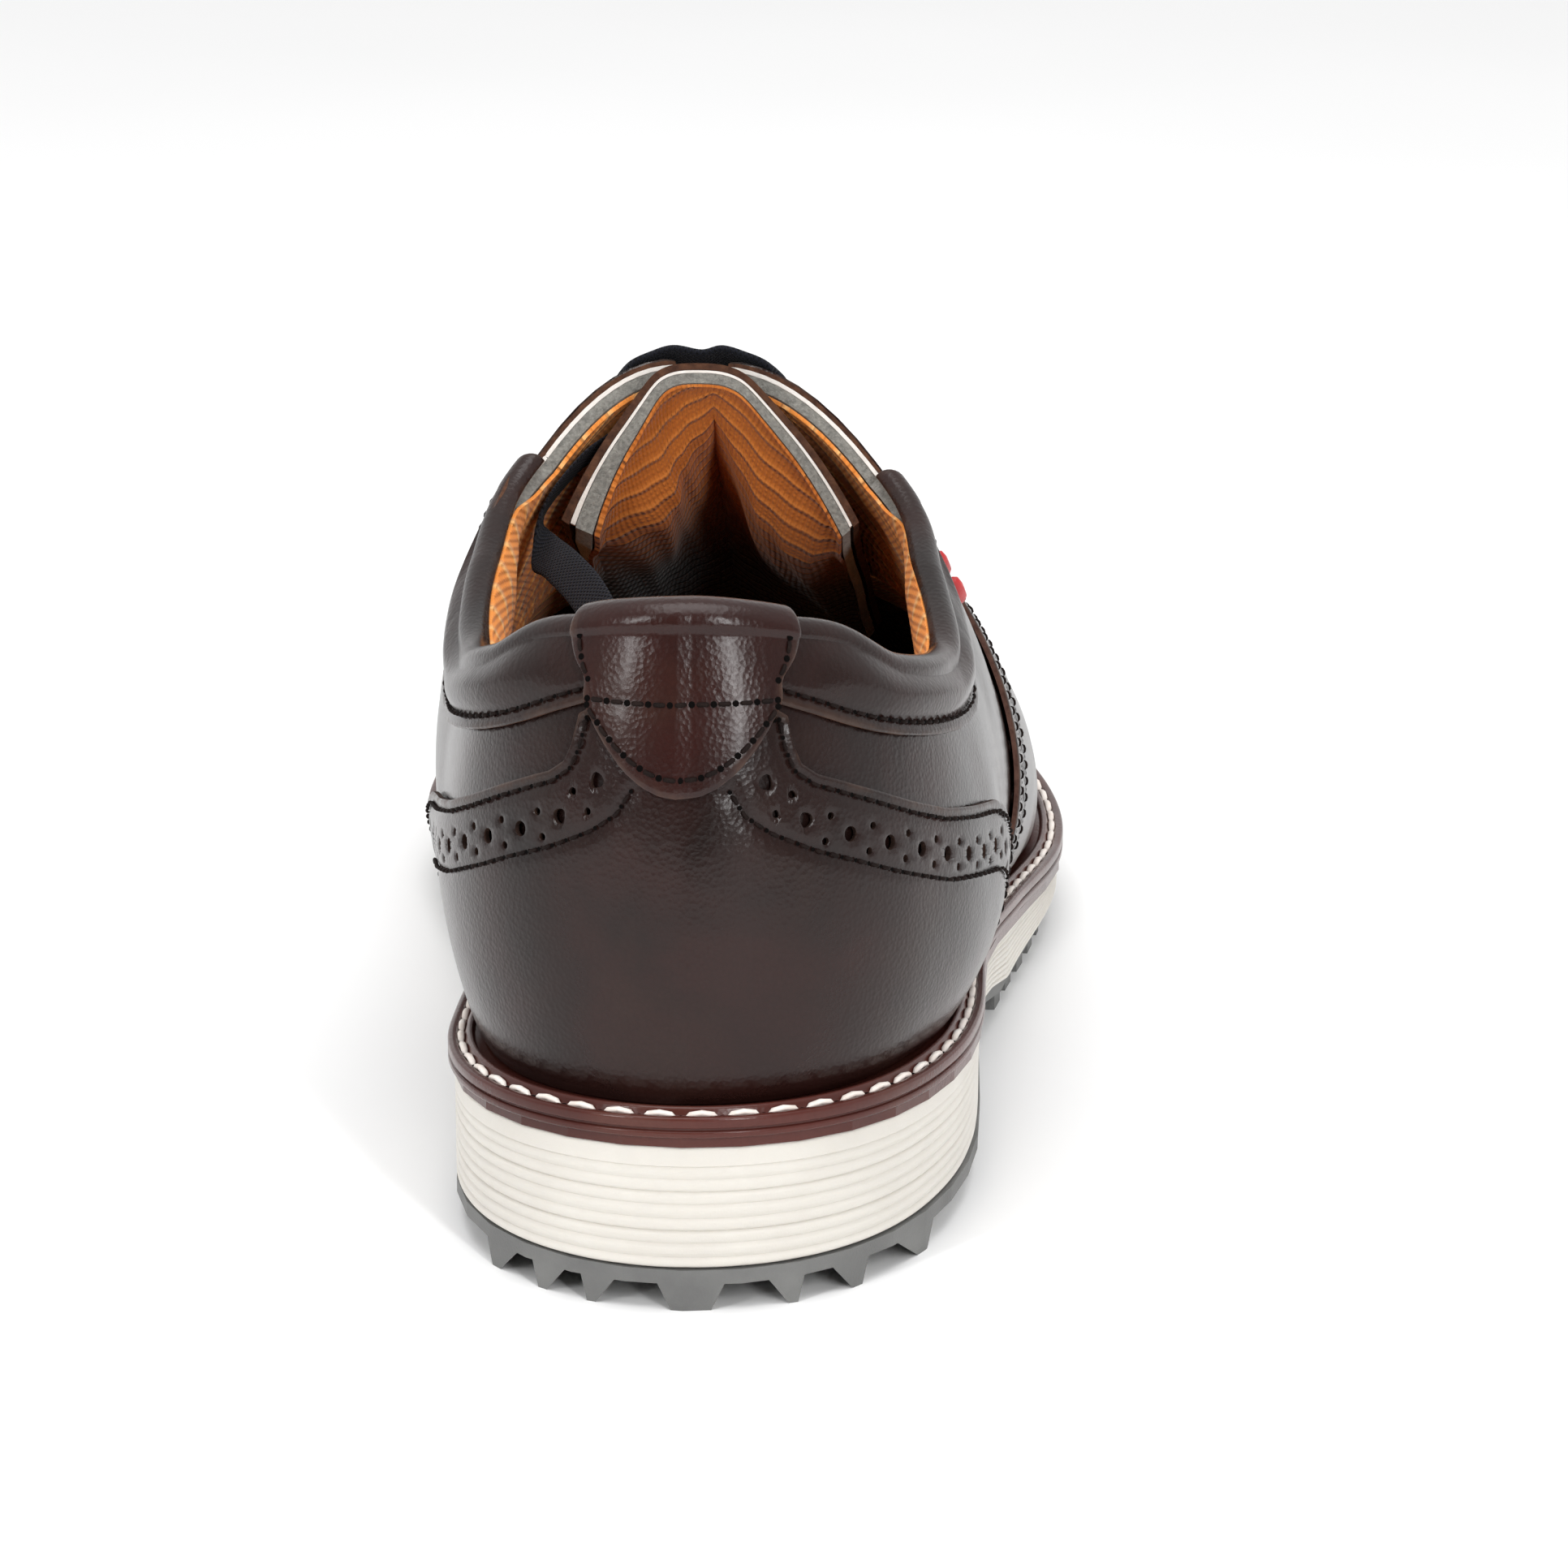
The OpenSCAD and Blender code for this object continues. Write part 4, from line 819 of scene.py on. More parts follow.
footbed("footbed_pad", 0.15, 4.0, 1.6, [FOOTBED_FOAM_SHADE_DARK, FOOTBED_FOAM_SHADE_DARK], slot="footbed_foam", replaces=["footbed_foam"])
footbed("footbed_top", 4.0, 4.8, 1.6, [FOOTBED_COVER_SHADE_DARK, FOOTBED_COVER_SHADE_DARK], slot="footbed_cover", replaces=["footbed_cover"])

# ------------------------------------------------------------------ quarters, padding and lining
HEEL_STEPS = [7.5 * k for k in range(9)]
TOP_Q = HEEL_STEPS + [69, 78, 87, 95, 101, 104, 108, 112, 120, 130, 140, 150, 160, 169, THROAT_Y]
BOT_Q = HEEL_STEPS + [68, 76, 84, 91, 96, 99.5, 102, 104.5, 107, 109.5, 111.5, 113.5, 115, 116.5, 118]
SIDE = {1: "lateral", -1: "medial"}


def along(values):
    """Function of a in 0 to 1 through evenly spaced values."""
    return lambda a: np.interp(a, np.linspace(0, 1, len(values)), values)


def quarter_sheet(s, low=0.0, puff=0.0):
    top, bot = along(TOP_Q), along(BOT_Q)

    def f(a, b, d):
        t = low + (1 - low) * b
        q1 = top(a)
        return skin(s, mix(bot(a), q1, t), top_v(s, q1) * t, d)
    return Sheet(f, 240, 60)


def eased(f, at, reach=0.03):
    """The same surface with its fold at b = at rounded off."""
    def g(a, b, d):
        k = reach * np.exp(-(((b - at) / (1.6 * reach)) ** 2))
        return (f(a, b - k, d) + 2 * f(a, b, d) + f(a, b + k, d)) / 4
    return g


def wrinkle(sheet, amount, size, seed=0):
    return lambda a, b: amount * noise(sheet.f(a, b, 0 * a), size, seed)


def sewn(sheet, lines, amount, size, seed=0, sink=0.34, reach=0.95):
    """Gentle waviness with a groove pulled down along every sewn row."""
    rows = np.concatenate([P for P, _ in lines])
    tree = kdtree.KDTree(len(rows))
    for k, p in enumerate(rows):
        tree.insert(p, k)
    tree.balance()

    def relief(a, b):
        P = sheet.f(a, b, 0 * a)
        gap = np.array([tree.find(p)[2] for p in P])
        return amount * noise(P, size, seed) - sink * np.exp(-((gap / reach) ** 2))
    return relief


for s, side in SIDE.items():
    quarter = quarter_sheet(s)
    quarter.solid(f"quarter_leather_{side}", D_QUARTER, [UPPER, EDGE], 1.8, relief=wrinkle(quarter, 0.12, 30),
                  slot="upper_leather", replaces=[f"quarter_{side}"])
    pad = quarter_sheet(s, 0.5)
    pad.solid(f"padding_felt_{side}", D_PAD, [FELT, FELT], 1.8, soften=0.1, slot="padding",
              replaces=[f"padding_{side}"])

    # white backing tape along the facing's edge, between the leather and the padding
    def tape(a, b, d, s=s):
        q = mix(96.5, 176, a)
        return skin(s, q, top_v(s, q) + 0.006 - (1 - b) * 0.05, d)
    Sheet(tape, 160, 6).solid(f"facing_tape_{side}", (D_QUARTER[1] - 0.05, D_PAD[0] + 0.35), [TAPE, TAPE],
                              1.0, 0.8, soften=0.05, slot="padding")

    def lining(a, b, d, s=s):
        q1 = along(TOP_Q)(a)
        v1 = top_v(s, q1)
        q, v = mix(along(BOT_Q)(a), q1, b), mix(0.01, v1, b)
        below = (v1 - v) / v1
        arc = np.sin(np.pi * np.clip(below / 0.62, 0, 1)) ** 0.8
        swell = 4.6 * smooth(q1, 8, 26) * (1 - smooth(q1, 86, 101)) * arc
        ridge = 0.22 * smooth(below, 0.02, 0.1) * np.maximum(np.sin(2 * np.pi * q1 / 5.6), 0) ** 3
        tuck = smooth(b, 0.93, 1.0) * smooth(q1, 4, 12) * (1 - smooth(q1, 92, 100))
        P = skin(s, q, v, d + swell + ridge - 0.75 * tuck)
        P[..., 2] += 1.5 * tuck
        return P
    Sheet(lining, 240, 80).solid(f"lining_cloth_{side}", D_LINING, [LINING_M, LINING_M], 1.0, soften=0.1,
                                 slot="lining_textile", replaces=[f"lining_{side}"])

# ------------------------------------------------------------------ collar
COLLAR_TQ = [9, 15, 22.5, 30, 37.5, 45, 52.5, 60, 68, 76, 84, 91, 97, 102]
COLLAR_BQ = [9, 14, 19, 24, 29, 34, 39, 44, 49, 54, 59, 63, 67, 72]
COLLAR_BZ = [64.4, 63.3, 61.4, 59.2, 57.2, 55.5, 54.1, 52.9, 51.9, 51.2, 51.2, 52.2, 55.0, 60.5]
ROLL_FROM = 0.7


def collar_f(s):
    def f(a, b, d):
        qt, qb = along(COLLAR_TQ)(a), along(COLLAR_BQ)(a)
        vt = top_v(s, qt)
        vb = rise_v(s, qb, HEEL_Z + along(COLLAR_BZ)(a))
        t = np.clip(b / ROLL_FROM, 0, 1)
        arc = np.sin(np.pi * np.clip((t - 0.22) / 0.8, 0, 1)) ** 1.2
        puff = 1.7 * smooth(qt, 17, 32) * (1 - smooth(qt, 90, 101)) * arc
        flat = skin(s, mix(qb, qt, t), mix(vb, vt, t), d - puff)
        over = roll_over(s, qt, vt, d, np.clip((b - ROLL_FROM) / (1 - ROLL_FROM), 0, 1) * 150)
        return np.where((b > ROLL_FROM)[..., None], over, flat)
    return f


for s, side in SIDE.items():
    collar = Sheet(eased(collar_f(s), ROLL_FROM), 200, 70)
    a = np.linspace(0.0, 1, 160)
    qb = along(COLLAR_BQ)(a)
    low = (s, qb, rise_v(s, qb, HEEL_Z + along(COLLAR_BZ)(a)))
    row = shift(*low, -2.0)
    front = np.linspace(0.05, 0.9, 40)
    up_q = mix(COLLAR_BQ[-1], COLLAR_TQ[-1], front) - 2.6
    share = rise_v(s, 72, HEEL_Z + 60.5) / top_v(s, 72)
    up = (s, up_q, mix(share, 1, front) * top_v(s, up_q))
    rows = [surface_path(*row), surface_path(*up)]
    collar.solid(f"collar_leather_{side}", (0, LEATHER), [UPPER, EDGE], 1.1, 0.8,
                 relief=sewn(collar, rows, 0.1, 22, 3), slot="upper_leather", replaces=[f"collar_{side}"])
    stitches(f"collar_stitching_{side}", rows, 2.6, 1.5, 0.27, [THREAD_DARK, NEEDLE_HOLE_SHADE], shade_disc_r=0.34,
             slot="upper_leather")

# ------------------------------------------------------------------ heel foxing
FOX_TOP = [(0, 57), (6, 59), (10.5, 61.5), (13.6, 62.5), (15.0, 61.6), (15.3, 59.6), (15.6, 57.6), (16.6, 54.8),
           (19, 52.9), (22, 51.7), (27.8, 49.1), (34.6, 45.8), (42, 42.6), (50, 40.2), (60, 37.6), (67, 34.8),
           (74, 30), (78, 25.5), (80, 21)]
FOX_BOTTOM = [0, 3, 6, 8.5, 10.5, 12.5, 14.5, 16.5, 19, 22, 27.8, 34.6, 42, 50, 60, 66, 71.5, 76, 80]


def foxing_f(a, b, d):
    u = 2 * a - 1
    s, w = np.where(u < 0, 1.0, -1.0), np.abs(u)
    qt, zt = along([p[0] for p in FOX_TOP])(w), along([p[1] for p in FOX_TOP])(w)
    qb = along(FOX_BOTTOM)(w)
    vt = rise_v(s, qt, HEEL_Z + zt)
    return skin(s, mix(qb, qt, b**1.5), vt * b, d)


foxing = Sheet(foxing_f, 320, 60)
fox_holes, fox_lines = [], []


def brogue(P, N, first, pitch, big=1.15, small=0.58, spread=1.85):
    """Perforations along a line: a big hole, then a pair of small ones, over and over."""
    total, out, s = length_of(P), [], first
    while s < total:
        C, n = resample(P, N, np.array([s, s + pitch / 2, s + pitch / 2 + 0.1]))
        out.append((C[0], big))
        if s + pitch / 2 < total:
            side = unit(np.cross(C[2] - C[1], n[1]))
            out += [(C[1] + side * spread, small), (C[1] - side * spread, small)]
        s += pitch
    return out


LOW_ROW = [(6.5, 51.5), (8.5, 48), (12, 45.3), (18, 42.2), (25, 39.3), (31, 36.5), (42, 31.8), (52, 29.2),
           (60, 27), (66, 24.6), (70, 20.5), (72, 15), (73.5, 8), (74.5, 2)]
HOLE_ROW = [(11.3, 53.2), (12.8, 50.5), (15.5, 47.4), (18.5, 45.6), (22.3, 44.1), (28.7, 41.5), (34.7, 38.9),
            (39.3, 36.8), (44, 35), (52, 32.6),
            (60, 31), (66, 28.2), (71, 24.2), (74.4, 18.5), (76, 12), (77, 5)]
for s in SIDE:
    w = np.linspace(0.17, 0.995, 260)
    qt, zt = along([p[0] for p in FOX_TOP])(w), along([p[1] for p in FOX_TOP])(w)
    fox_lines.append(surface_path(*shift(s, qt, rise_v(s, qt, HEEL_Z + zt), 1.6)))
    for row, out in ((LOW_ROW, fox_lines), (HOLE_ROW, None)):
        t = np.linspace(0, 1, 240)
        q, z = along([p[0] for p in row])(t), along([p[1] for p in row])(t)
        line = surface_path(s, q, rise_v(s, q, HEEL_Z + z))
        if out is not None:
            out.append(line)
        else:
            fox_holes += brogue(*line, 0.6, 8.4)
foxing.solid("foxing_leather", (0, LEATHER), [UPPER, EDGE_DARK], 1.0, holes=fox_holes, open_sides="a0 a1 b1",
             relief=sewn(foxing, fox_lines, 0.1, 26, 1), slot="upper_leather", replaces=["heel_foxing"])
stitches("foxing_stitching", fox_lines, 2.6, 1.5, 0.27, [THREAD_DARK, NEEDLE_HOLE_SHADE], shade_disc_r=0.34, slot="upper_leather")

# ------------------------------------------------------------------ heel tab
TAB_D = -1.45
TAB_LOW = [(0, 50.7), (2.5, 51), (4.9, 52.2), (7, 53.9), (8.6, 55.6), (10.2, 57.6), (11.7, 59.8), (12.8, 61.6),
           (13.6, 63.2)]
TAB_TOP_Q, TAB_ROLL = 17.4, 0.72


def tab_f(a, b, d):
    u = 2 * a - 1
    s, w = np.where(u < 0, 1.0, -1.0), np.abs(u)
    qb, zb = along([p[0] for p in TAB_LOW])(w), along([p[1] for p in TAB_LOW])(w)
    qt = w * TAB_TOP_Q
    t = np.clip(b / TAB_ROLL, 0, 1)
    vb, vt = rise_v(s, qb, HEEL_Z + zb), top_v(s, qt)
    waist = -1.1 * np.exp(-(((t - 0.36) / 0.22) ** 2)) * w
    q = mix(qb, qt, t**0.8) + waist
    flat = skin(s, np.maximum(q, 0), mix(vb, vt, t), d)
    over = roll_over(s, qt, vt, d, np.clip((b - TAB_ROLL) / (1 - TAB_ROLL), 0, 1) * 110)
    P = np.where((b > TAB_ROLL)[..., None], over, flat)
    P[..., 2] += 1.5 * (1 - w**2) * smooth(t, 0.45, 1)
    return P


tab = Sheet(eased(tab_f, TAB_ROLL), 120, 80)


def sheet_path(sheet, a, b, d):
    """A line drawn on a sheet at a depth, with outward normals."""
    a, b = np.broadcast_arrays(np.asarray(a, float), np.asarray(b, float))
    pa, pb = sheet.partials(a, b)
    n = unit(np.cross(pa, pb))
    P, under = sheet.f(a, b, 0 * a + d), sheet.f(a, b, 0 * a + d + 0.5)
    return P, n * np.sign(((P - under) * n).sum(-1, keepdims=True))


t = np.linspace(0, 1, 120)
edge_a = 1.7 / tab.len_a
u_row = [sheet_path(tab, mix(edge_a, 1 - edge_a, t), np.full(120, 1.7 / tab.len_b), TAB_D)]
side_rows = [sheet_path(tab, np.full(120, a0), mix(0.3, 0.7, t), TAB_D) for a0 in (edge_a, 1 - edge_a)]
steps = np.linspace(0.05, 0.6, 60)
waist = [np.interp(HEEL_Z + 63.4, tab.f(np.full(60, a), steps, 0 * steps)[:, 2], steps)
         for a in mix(edge_a, 1 - edge_a, t)]
waist_row = [sheet_path(tab, mix(edge_a, 1 - edge_a, t), np.array(waist), TAB_D)]
tab_rows = u_row + side_rows + waist_row
tab.solid("tab_leather", (TAB_D, TAB_D + LEATHER), [TAB, EDGE_DARK], 0.8, relief=sewn(tab, tab_rows, 0.1, 16, 5),
          slot="upper_leather", replaces=["heel_tab"])
stitches("tab_stitching", tab_rows, 3.0, 1.9, 0.34, [THREAD_DARK, NEEDLE_HOLE_SHADE], shade_disc_r=0.5,
         slot="upper_leather")

# ------------------------------------------------------------------ vamp
VAMP_REAR = [(0, 107), (0.3, 121), (0.5, 134), (0.66, 152), (0.76, 167), (0.85, 174), (1, 181)]


def hood(rear, q_end=L0 - 0.4):
    def f(a, b, d):
        u = 2 * b - 1
        s, v = np.where(u < 0, 1.0, -1.0), 1 - np.abs(u)
        creases = 0.35 * np.exp(-(((mix(rear(v), q_end, a) - 188) / 9) ** 2)) * np.sin(
            (mix(rear(v), q_end, a) + 5 * v) * 2 * np.pi / 8.5) * smooth(v, 0.35, 0.6)
        return skin(s, mix(rear(v), q_end, a), v, d + creases)
    return f


vamp = Sheet(hood(lambda v: cr(VAMP_REAR, v)), 240, 200)
vamp_holes, vamp_lines = [], []
for s in SIDE:
    v = np.linspace(0.015, 0.985, 240)
    rear = cr(VAMP_REAR, v)
    for inset in (1.5, 12.0):
        line = shift(s, rear, v, -inset)
        if np.mean(line[1] - rear) < 0:
            line = shift(s, rear, v, inset)
        keep = (line[2] < 0.995) & (line[2] > 0.01)
        vamp_lines.append(surface_path(s, line[1][keep], line[2][keep], D_VAMP[0]))
    line = shift(s, rear, v, -6.6)
    if np.mean(line[1] - rear) < 0:
        line = shift(s, rear, v, 6.6)
    vamp_holes += brogue(*surface_path(s, line[1], line[2]), 5.0, 8.4)
vamp.solid("vamp_leather", D_VAMP, [UPPER_FRONT, EDGE_PINK], 1.3, holes=vamp_holes, open_sides="a0",
           relief=sewn(vamp, vamp_lines, 0.12, 34, 2), slot="upper_leather", replaces=["vamp"])
stitches("vamp_stitching", vamp_lines, 2.6, 1.5, 0.27, [THREAD_DARK, NEEDLE_HOLE_SHADE], shade_disc_r=0.34, slot="upper_leather")
vamp_inside = Sheet(hood(lambda v: 130 + 60 * v, 294), 120, 120)
vamp_inside.solid("vamp_lining_cloth", (D_PAD[0] + 0.3, D_PAD[0] + 0.3 + LINING), [LINING_M, LINING_M], 2.5,
                  slot="lining_textile", replaces=["vamp_lining"])

# ------------------------------------------------------------------ tongue
TONGUE_Q = [182, 171, 160, 149, 138, 128, 119, 111, 104]


def tongue_f(lobes=0.0):
    def f(a, b, d):
        u = 2 * b - 1
        s, w = np.where(u < 0, 1.0, -1.0), np.abs(u)
        q = along(TONGUE_Q)(a)
        edge = mix(0.62, np.where(s > 0, 0.54, 0.48), a)
        tuck = 2.4 * a**2 * w**2
        fall = (1 - a) * 78.0
        away = smooth(fall, 0.6, 13) * (1 - 0.55 * smooth(fall, 26, 60))
        lobe = np.abs(np.sin(np.pi * np.clip((u + 0.1) / 1.05, -1, 1))) ** 0.75
        sag = lobes * away * lobe * (1 - smooth(w, 0.9, 1))
        small = 0.35 * lobes / 8 * np.sin(u * 26 + fall * 0.25) * away
        crown = 1.0 + 0.6 * np.sin(2 * np.pi * np.clip(w, 0, 0.5)) ** 2
        crown = crown * (1 - smooth(w, 0.25, 0.6)) * (1 - smooth(q, 140, 160))
        return skin(s, q, mix(edge, 1, 1 - w), d + tuck + sag + small - crown)
    return f


for name, d, lobes, mats, slot, node_name in (
        ("tongue_leather_skin", (7.95, 9.4), 0, [TONGUE, EDGE], "tongue_leather", "tongue_leather"),
        ("tongue_felt", (10.0, 12.0), 0, [FELT, FELT], "padding", "tongue_foam"),
        ("tongue_cloth", (12.1, 12.8), 8.0, [TONGUE_LINING, TONGUE_LINING], "lining_textile", "tongue_lining")):
    Sheet(tongue_f(lobes), 160, 90).solid(name, d, mats, 1.0, soften=0.15, body="tongue", slot=slot,
                                          replaces=[node_name])


def tongue_tape(a, b, d):
    return tongue_f()(1.006 - 0.03 * (1 - b), mix(0.004, 0.996, a), d + 0 * a)


Sheet(tongue_tape, 160, 6).solid("tongue_tape", (9.4, 10.0), [TAPE, TAPE], 0.8, 0.8,
                                 soften=0.1, body="tongue", slot="padding")

# ------------------------------------------------------------------ eyelets and lace
ROWS = [114 + 13 * k for k in range(5)]


def eyelet_frame(s, q):
    v = float(side_v(s, q, 11.5))
    c = skin(s, q, v, D_QUARTER[0])
    along_q = unit(skin(s, q + 1, v, D_QUARTER[0]) - skin(s, q - 1, v, D_QUARTER[0]))
    up = unit(skin(s, q, v + 0.01, D_QUARTER[0]) - skin(s, q, v - 0.01, D_QUARTER[0]))
    return v, c, along_q, up, unit(np.cross(along_q, up) * s)


RING = [(2.0, -3.0), (2.45, -3.0), (2.45, 0.1), (3.2, 0.1), (3.62, 0.14), (3.72, 0.3), (3.6, 0.48), (3.2, 0.62),
        (2.7, 0.64), (2.3, 0.55), (2.06, 0.35), (2.0, 0.0)]
verts, faces = [], []
for s in SIDE:
    for q in ROWS:
        v, c, e1, up, n = eyelet_frame(s, q)
        e2 = np.cross(n, e1)
        base, m = sum(map(len, verts)), len(RING)
        turn = np.linspace(0, 2 * math.pi, 32, endpoint=False)
        verts.append(np.array([[c + n * h + r * (math.cos(t) * e1 + math.sin(t) * e2) for r, h in RING]
                               for t in turn]).reshape(-1, 3))
        faces += [(base + i * m + j, base + ((i + 1) % 32) * m + j, base + ((i + 1) % 32) * m + (j + 1) % m,
                   base + i * m + (j + 1) % m) for i in range(32) for j in range(m)]
build("eyelet_rings", np.concatenate(verts), faces, [METAL], slot="eyelet_metal", replaces=["eyelets"])

D_BAR, D_CREST, D_UNDER, LACE_W = -0.3, 0.7, D_RUN[1] - 0.1, 7.0


def stop(s, q, v, d, wq, wv, h):
    e1 = unit(skin(s, q + 1, v, D_QUARTER[0]) - skin(s, q - 1, v, D_QUARTER[0]))
    up = unit(skin(s, q, v + 0.01, D_QUARTER[0]) - skin(s, q, v - 0.01, D_QUARTER[0]))
    return skin(s, q, v, d), e1 * wq + up * wv, h


def through(s, q, twist):
    v, c, e1, up, n = eyelet_frame(s, q)
    way = ([(-5.1, 0, 1.6, 0.6), (-3.3, 0, 1.2, 0.9), (-1.8, 0.85, 0.85, 0.9), (-0.3, 1.2, 0, 0.9)] if twist
           else [(-5.1, 1.6, 0, 0.6), (-3.3, 1.2, 0, 0.9), (-1.8, 1.2, 0, 0.9), (-0.3, 1.2, 0, 0.9)])
    return [(c + n * t[0], e1 * t[1] + up * t[2], t[3]) for t in way + [(1.5, 1.7, 0, 0.8)]]


def climb(s, q):
    v = float(side_v(s, q, 11.5)) + 0.035
    return [stop(s, q, mix(v, 1, t / 3), D_BAR, LACE_W / 2, 0, 0.75) for t in range(3)]


def cross_over(a, q, last):
    return (through(a, q, True) + climb(a, q) + [stop(1, q, 1.0, D_CREST, LACE_W / 2, 0, 0.75)]
            + climb(-a, q)[::-1] + through(-a, q, not last)[::-1])


path = [stop(1, ROWS[4] + e, float(side_v(1, ROWS[4] + e, 11.5)), D_UNDER, 0, 2.1, 0.4) for e in (9, 5)]
for k in range(5):
    a = 1 if k % 2 == 0 else -1
    path += cross_over(a, ROWS[4 - k], k == 4)
    if k < 4:
        path += [stop(-a, q, float(side_v(-a, q, 11.5)), D_UNDER, 0, 2.1, 0.4)
                 for q in (mix(ROWS[4 - k], ROWS[3 - k], t) for t in (0.3, 0.7))]
path += [stop(-1, q, v, D_UNDER, 2.6, -1.3 / 3, 0.4) for q, v in ((110, 0.68), (106.5, 0.58), (103.5, 0.47))]
path += [(lean(c), np.array(w, float), 0.5) for c, w in (
    ((-29.4, 98.5, 92.4), (1.8, 1.6, 2)), ((-26, 91.5, 91.4), (2.5, -0.4, 2.3)),
    ((-21.4, 84, 88.6), (2.5, -0.8, 2.4)), ((-17.6, 77, 83.8), (2.4, -1.1, 2.4)),
    ((-15.4, 71, 77.6), (2.2, -1.3, 1.9)), ((-14.4, 67.5, 71.8), (1.5, -0.9, 0.9)))]


def spline(values, per):
    """Points through the given stops with smooth tangents."""
    V = np.array(values, float)
    x = np.arange(len(V))
    at = np.linspace(0, len(V) - 1, (len(V) - 1) * per + 1)
    return np.stack([cr(list(zip(x, V[:, k])), at) for k in range(V.shape[1])], 1)


C = spline([p[0] for p in path], 8)
W = spline([p[1] for p in path], 8)
H = spline([[p[2]] for p in path], 8)
T = unit(np.gradient(C, axis=0))
U = unit(np.cross(T, W))
SECTION = 18
turn = np.linspace(0, 2 * math.pi, SECTION, endpoint=False)
cx = np.sign(np.cos(turn)) * np.abs(np.cos(turn)) ** 0.7
cz = np.sign(np.sin(turn)) * np.abs(np.sin(turn)) ** 0.7
rings = C[:, None] + W[:, None] * cx[None, :, None] + (U * H)[:, None] * cz[None, :, None]
run = np.r_[0, np.cumsum(np.linalg.norm(np.diff(C, axis=0), axis=1))]
ruv = np.stack([np.repeat(run, SECTION), (np.linalg.norm(W, axis=1)[:, None] * cx[None, :]).ravel()], 1)
build("lace_ribbon", rings.reshape(-1, 3), tube_faces(len(C), SECTION), [LACE_M], uv=ruv, slot="lace_cord",
      replaces=["lace"], sharp=60)
tip, way = C[-1], T[-1]
side = unit(W[-1])
over = np.cross(way, side)
TIP_RINGS = [(-2.2, 1.7, 1.0), (-1.8, 1.75, 1.2), (1.0, 1.62, 1.62), (9.4, 1.5, 1.5), (10.0, 1.2, 1.2)]
pts = np.array([[tip + way * h + side * r * math.cos(t) + over * k * math.sin(t) for t in turn]
                for h, r, k in TIP_RINGS]).reshape(-1, 3)
build("lace_tip", pts, tube_faces(len(TIP_RINGS), SECTION), [TIP], slot="aglet_plastic", replaces=["aglets"])

# ------------------------------------------------------------------ accent bars
verts, faces = [], []
for k in range(3):
    q0, z0 = 116 - k, HEEL_Z + SLIP + WELT + (62.4, 58.2, 54.2)[k]
    base = sum(map(len, verts))
    rows = []
    for t in np.linspace(-1, 1, 15):
        q = q0 + 2.6 * t
        v = rise_v(1, q, z0 - 1.8 * t)
        end = math.sqrt(max(1 - abs(t) ** 3, 0.02))
        rows.append([skin(1, q, v + 0.013 * c * end, D_QUARTER[0] - 0.25 - 1.9 * h * end ** 0.5)
                     for c, h in ((-1, 0), (-0.95, 0.5), (-0.6, 0.9), (0, 1), (0.6, 0.9), (0.95, 0.5), (1, 0))])
    verts.append(np.array(rows).reshape(-1, 3))
    new = tube_faces(15, 7)
    faces += [tuple(base + i for i in f) for f in new]
build("accent_ribs", np.concatenate(verts), faces, [RED], slot="accent_red", replaces=["accent_bars"])

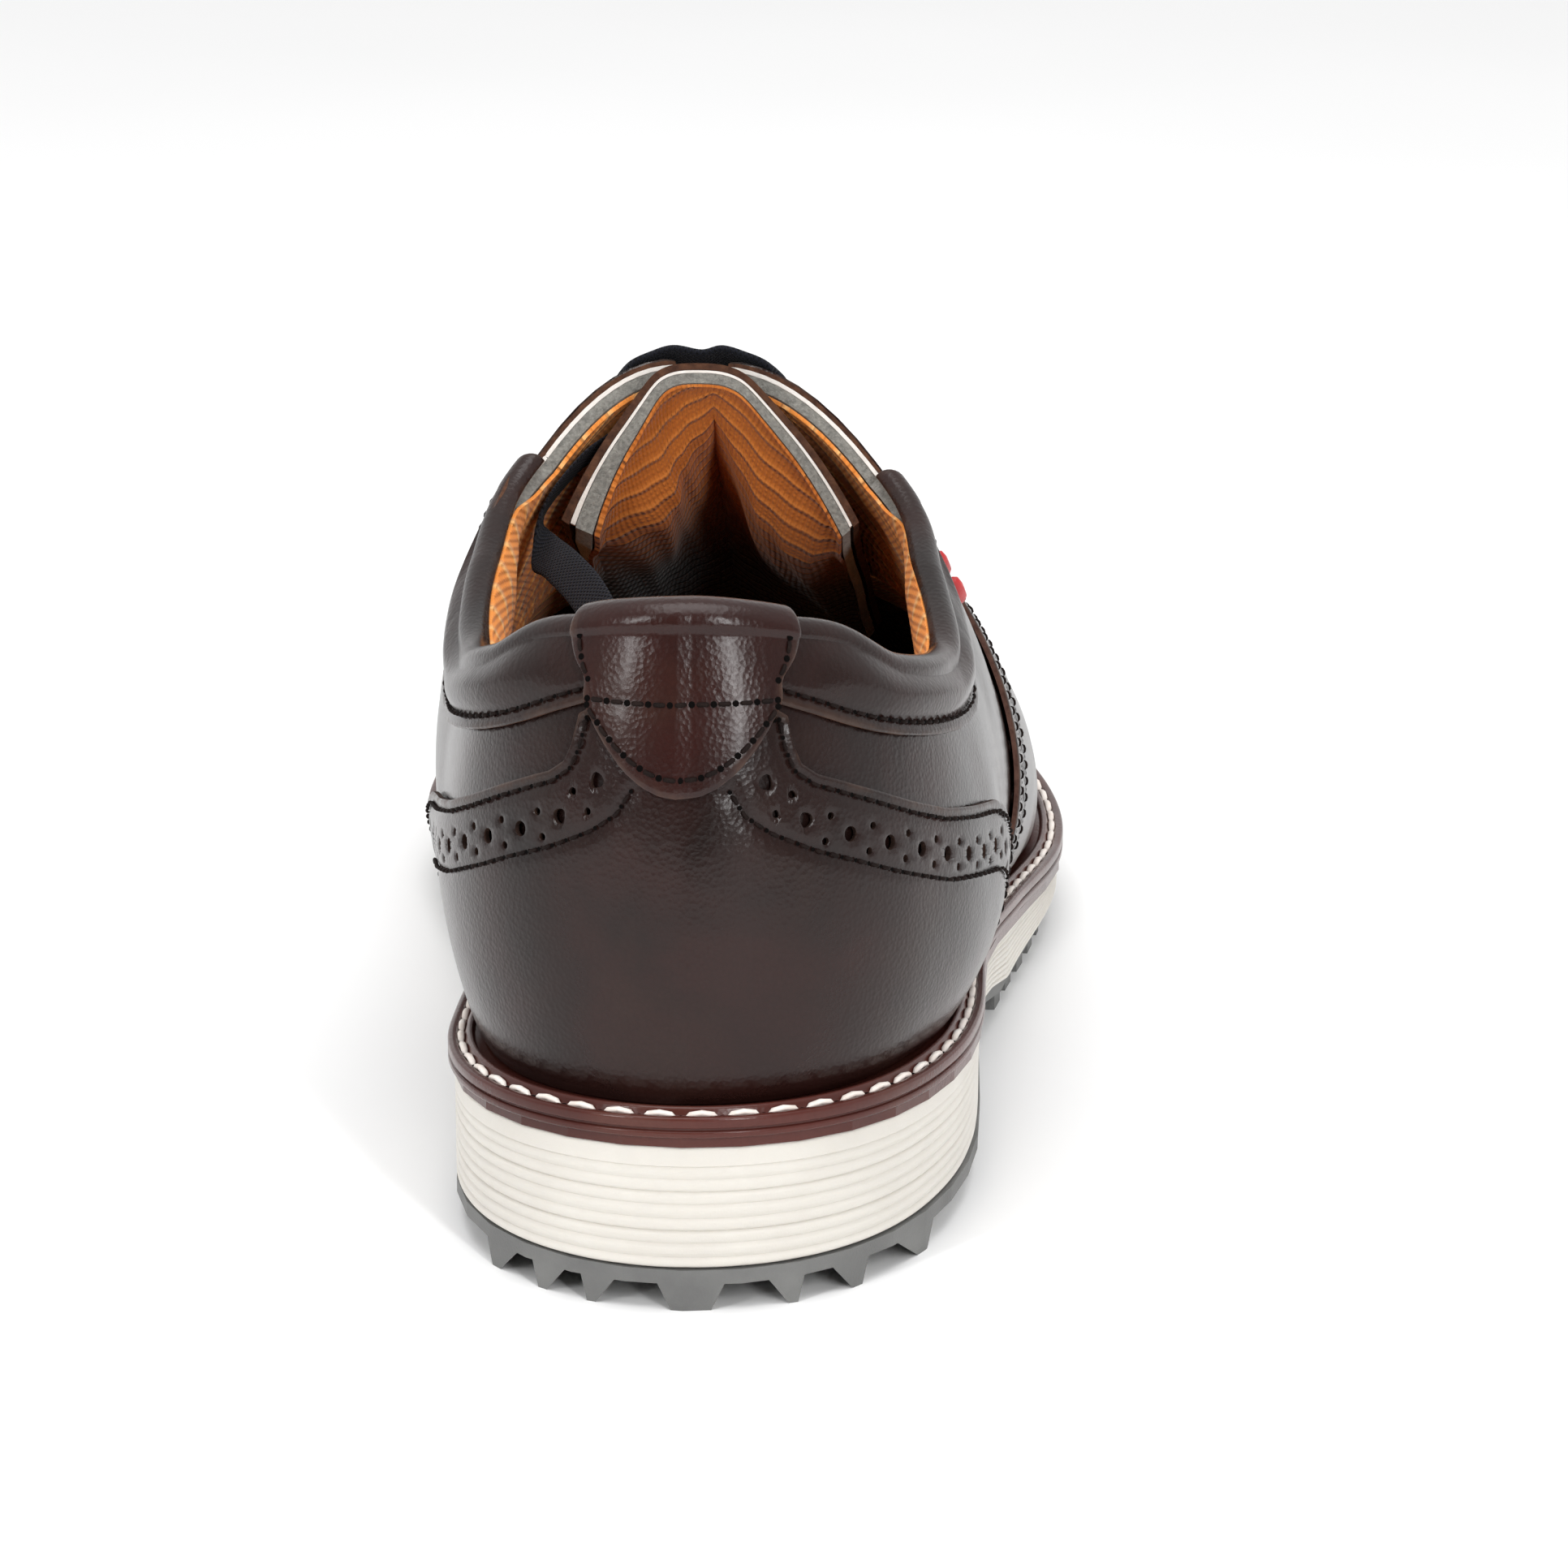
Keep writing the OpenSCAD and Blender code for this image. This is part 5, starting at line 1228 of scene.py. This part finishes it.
# ------------------------------------------------------------------ stage, light and camera
floor_mesh = bpy.data.meshes.new("studio_floor")
R = 12.0
floor_mesh.from_pydata([(-R, -R, 0), (R, -R, 0), (R, R, 0), (-R, R, 0)], [], [(0, 1, 2, 3)])
floor = bpy.data.objects.new("studio_floor", floor_mesh)
bpy.context.scene.collection.objects.link(floor)
pale = Finish("studio_floor")
paper = ramp(pale.nt, pale.noise(400, 2), (0.3, rgb(246, 246, 246)), (0.7, rgb(250, 250, 250)))
floor.data.materials.append(pale.done(paper, 0.7, Specular_IOR_Level=0.1))

world = bpy.data.worlds.new("studio")
bpy.context.scene.world = world
world.use_nodes = True
wn = world.node_tree
direction = add(wn, "TexCoord").outputs["Generated"]
front = add(wn, "SeparateXYZ", Vector=direction).outputs["Y"]
level = add(wn, "MapRange", {"interpolation_type": "SMOOTHSTEP"}, Value=front, From_Min=-0.9, From_Max=0.1,
            To_Min=0.06, To_Max=0.9).outputs[0]
wn.links.new(level, wn.nodes["Background"].inputs["Strength"])
wn.nodes["Background"].inputs["Color"].default_value = (1, 1, 1, 1)

centre = (cad_lo + cad_hi) / 2


def softbox(name, azimuth, elevation, distance, size, power):
    light = bpy.data.lights.new(name, "AREA")
    light.shape, light.size, light.size_y, light.energy = "RECTANGLE", size[0], size[1], power
    ob = bpy.data.objects.new(name, light)
    bpy.context.scene.collection.objects.link(ob)
    a, e = math.radians(azimuth), math.radians(elevation)
    back = Vector((math.sin(a) * math.cos(e), -math.cos(a) * math.cos(e), math.sin(e)))
    ob.location = centre + back * distance
    ob.rotation_mode = "QUATERNION"
    ob.rotation_quaternion = back.to_track_quat("Z", "Y")


softbox("key_right", 25, 24, 1.5, (0.11, 0.8), 9)
softbox("key_left", -36, 26, 1.5, (0.1, 0.7), 6)
softbox("top", 0, 80, 1.6, (1.2, 1.2), 15)

AZIMUTH, ELEVATION, DISTANCE, LENS = 2.978, 16.71, 0.9617, 136.97
AIM = Vector((0.0112, -0.0298, 0.0434))
cam = bpy.data.objects.new("camera", bpy.data.cameras.new("camera"))
bpy.context.scene.collection.objects.link(cam)
a, e = math.radians(AZIMUTH), math.radians(ELEVATION)
back = Vector((math.sin(a) * math.cos(e), -math.cos(a) * math.cos(e), math.sin(e)))
cam.location = AIM + back * DISTANCE
cam.rotation_mode = "QUATERNION"
cam.rotation_quaternion = back.to_track_quat("Z", "Y")
cam.data.lens, cam.data.sensor_width, cam.data.clip_start = LENS, 36, 0.01
bpy.context.scene.camera = cam
bpy.context.scene.view_settings.view_transform = "Standard"
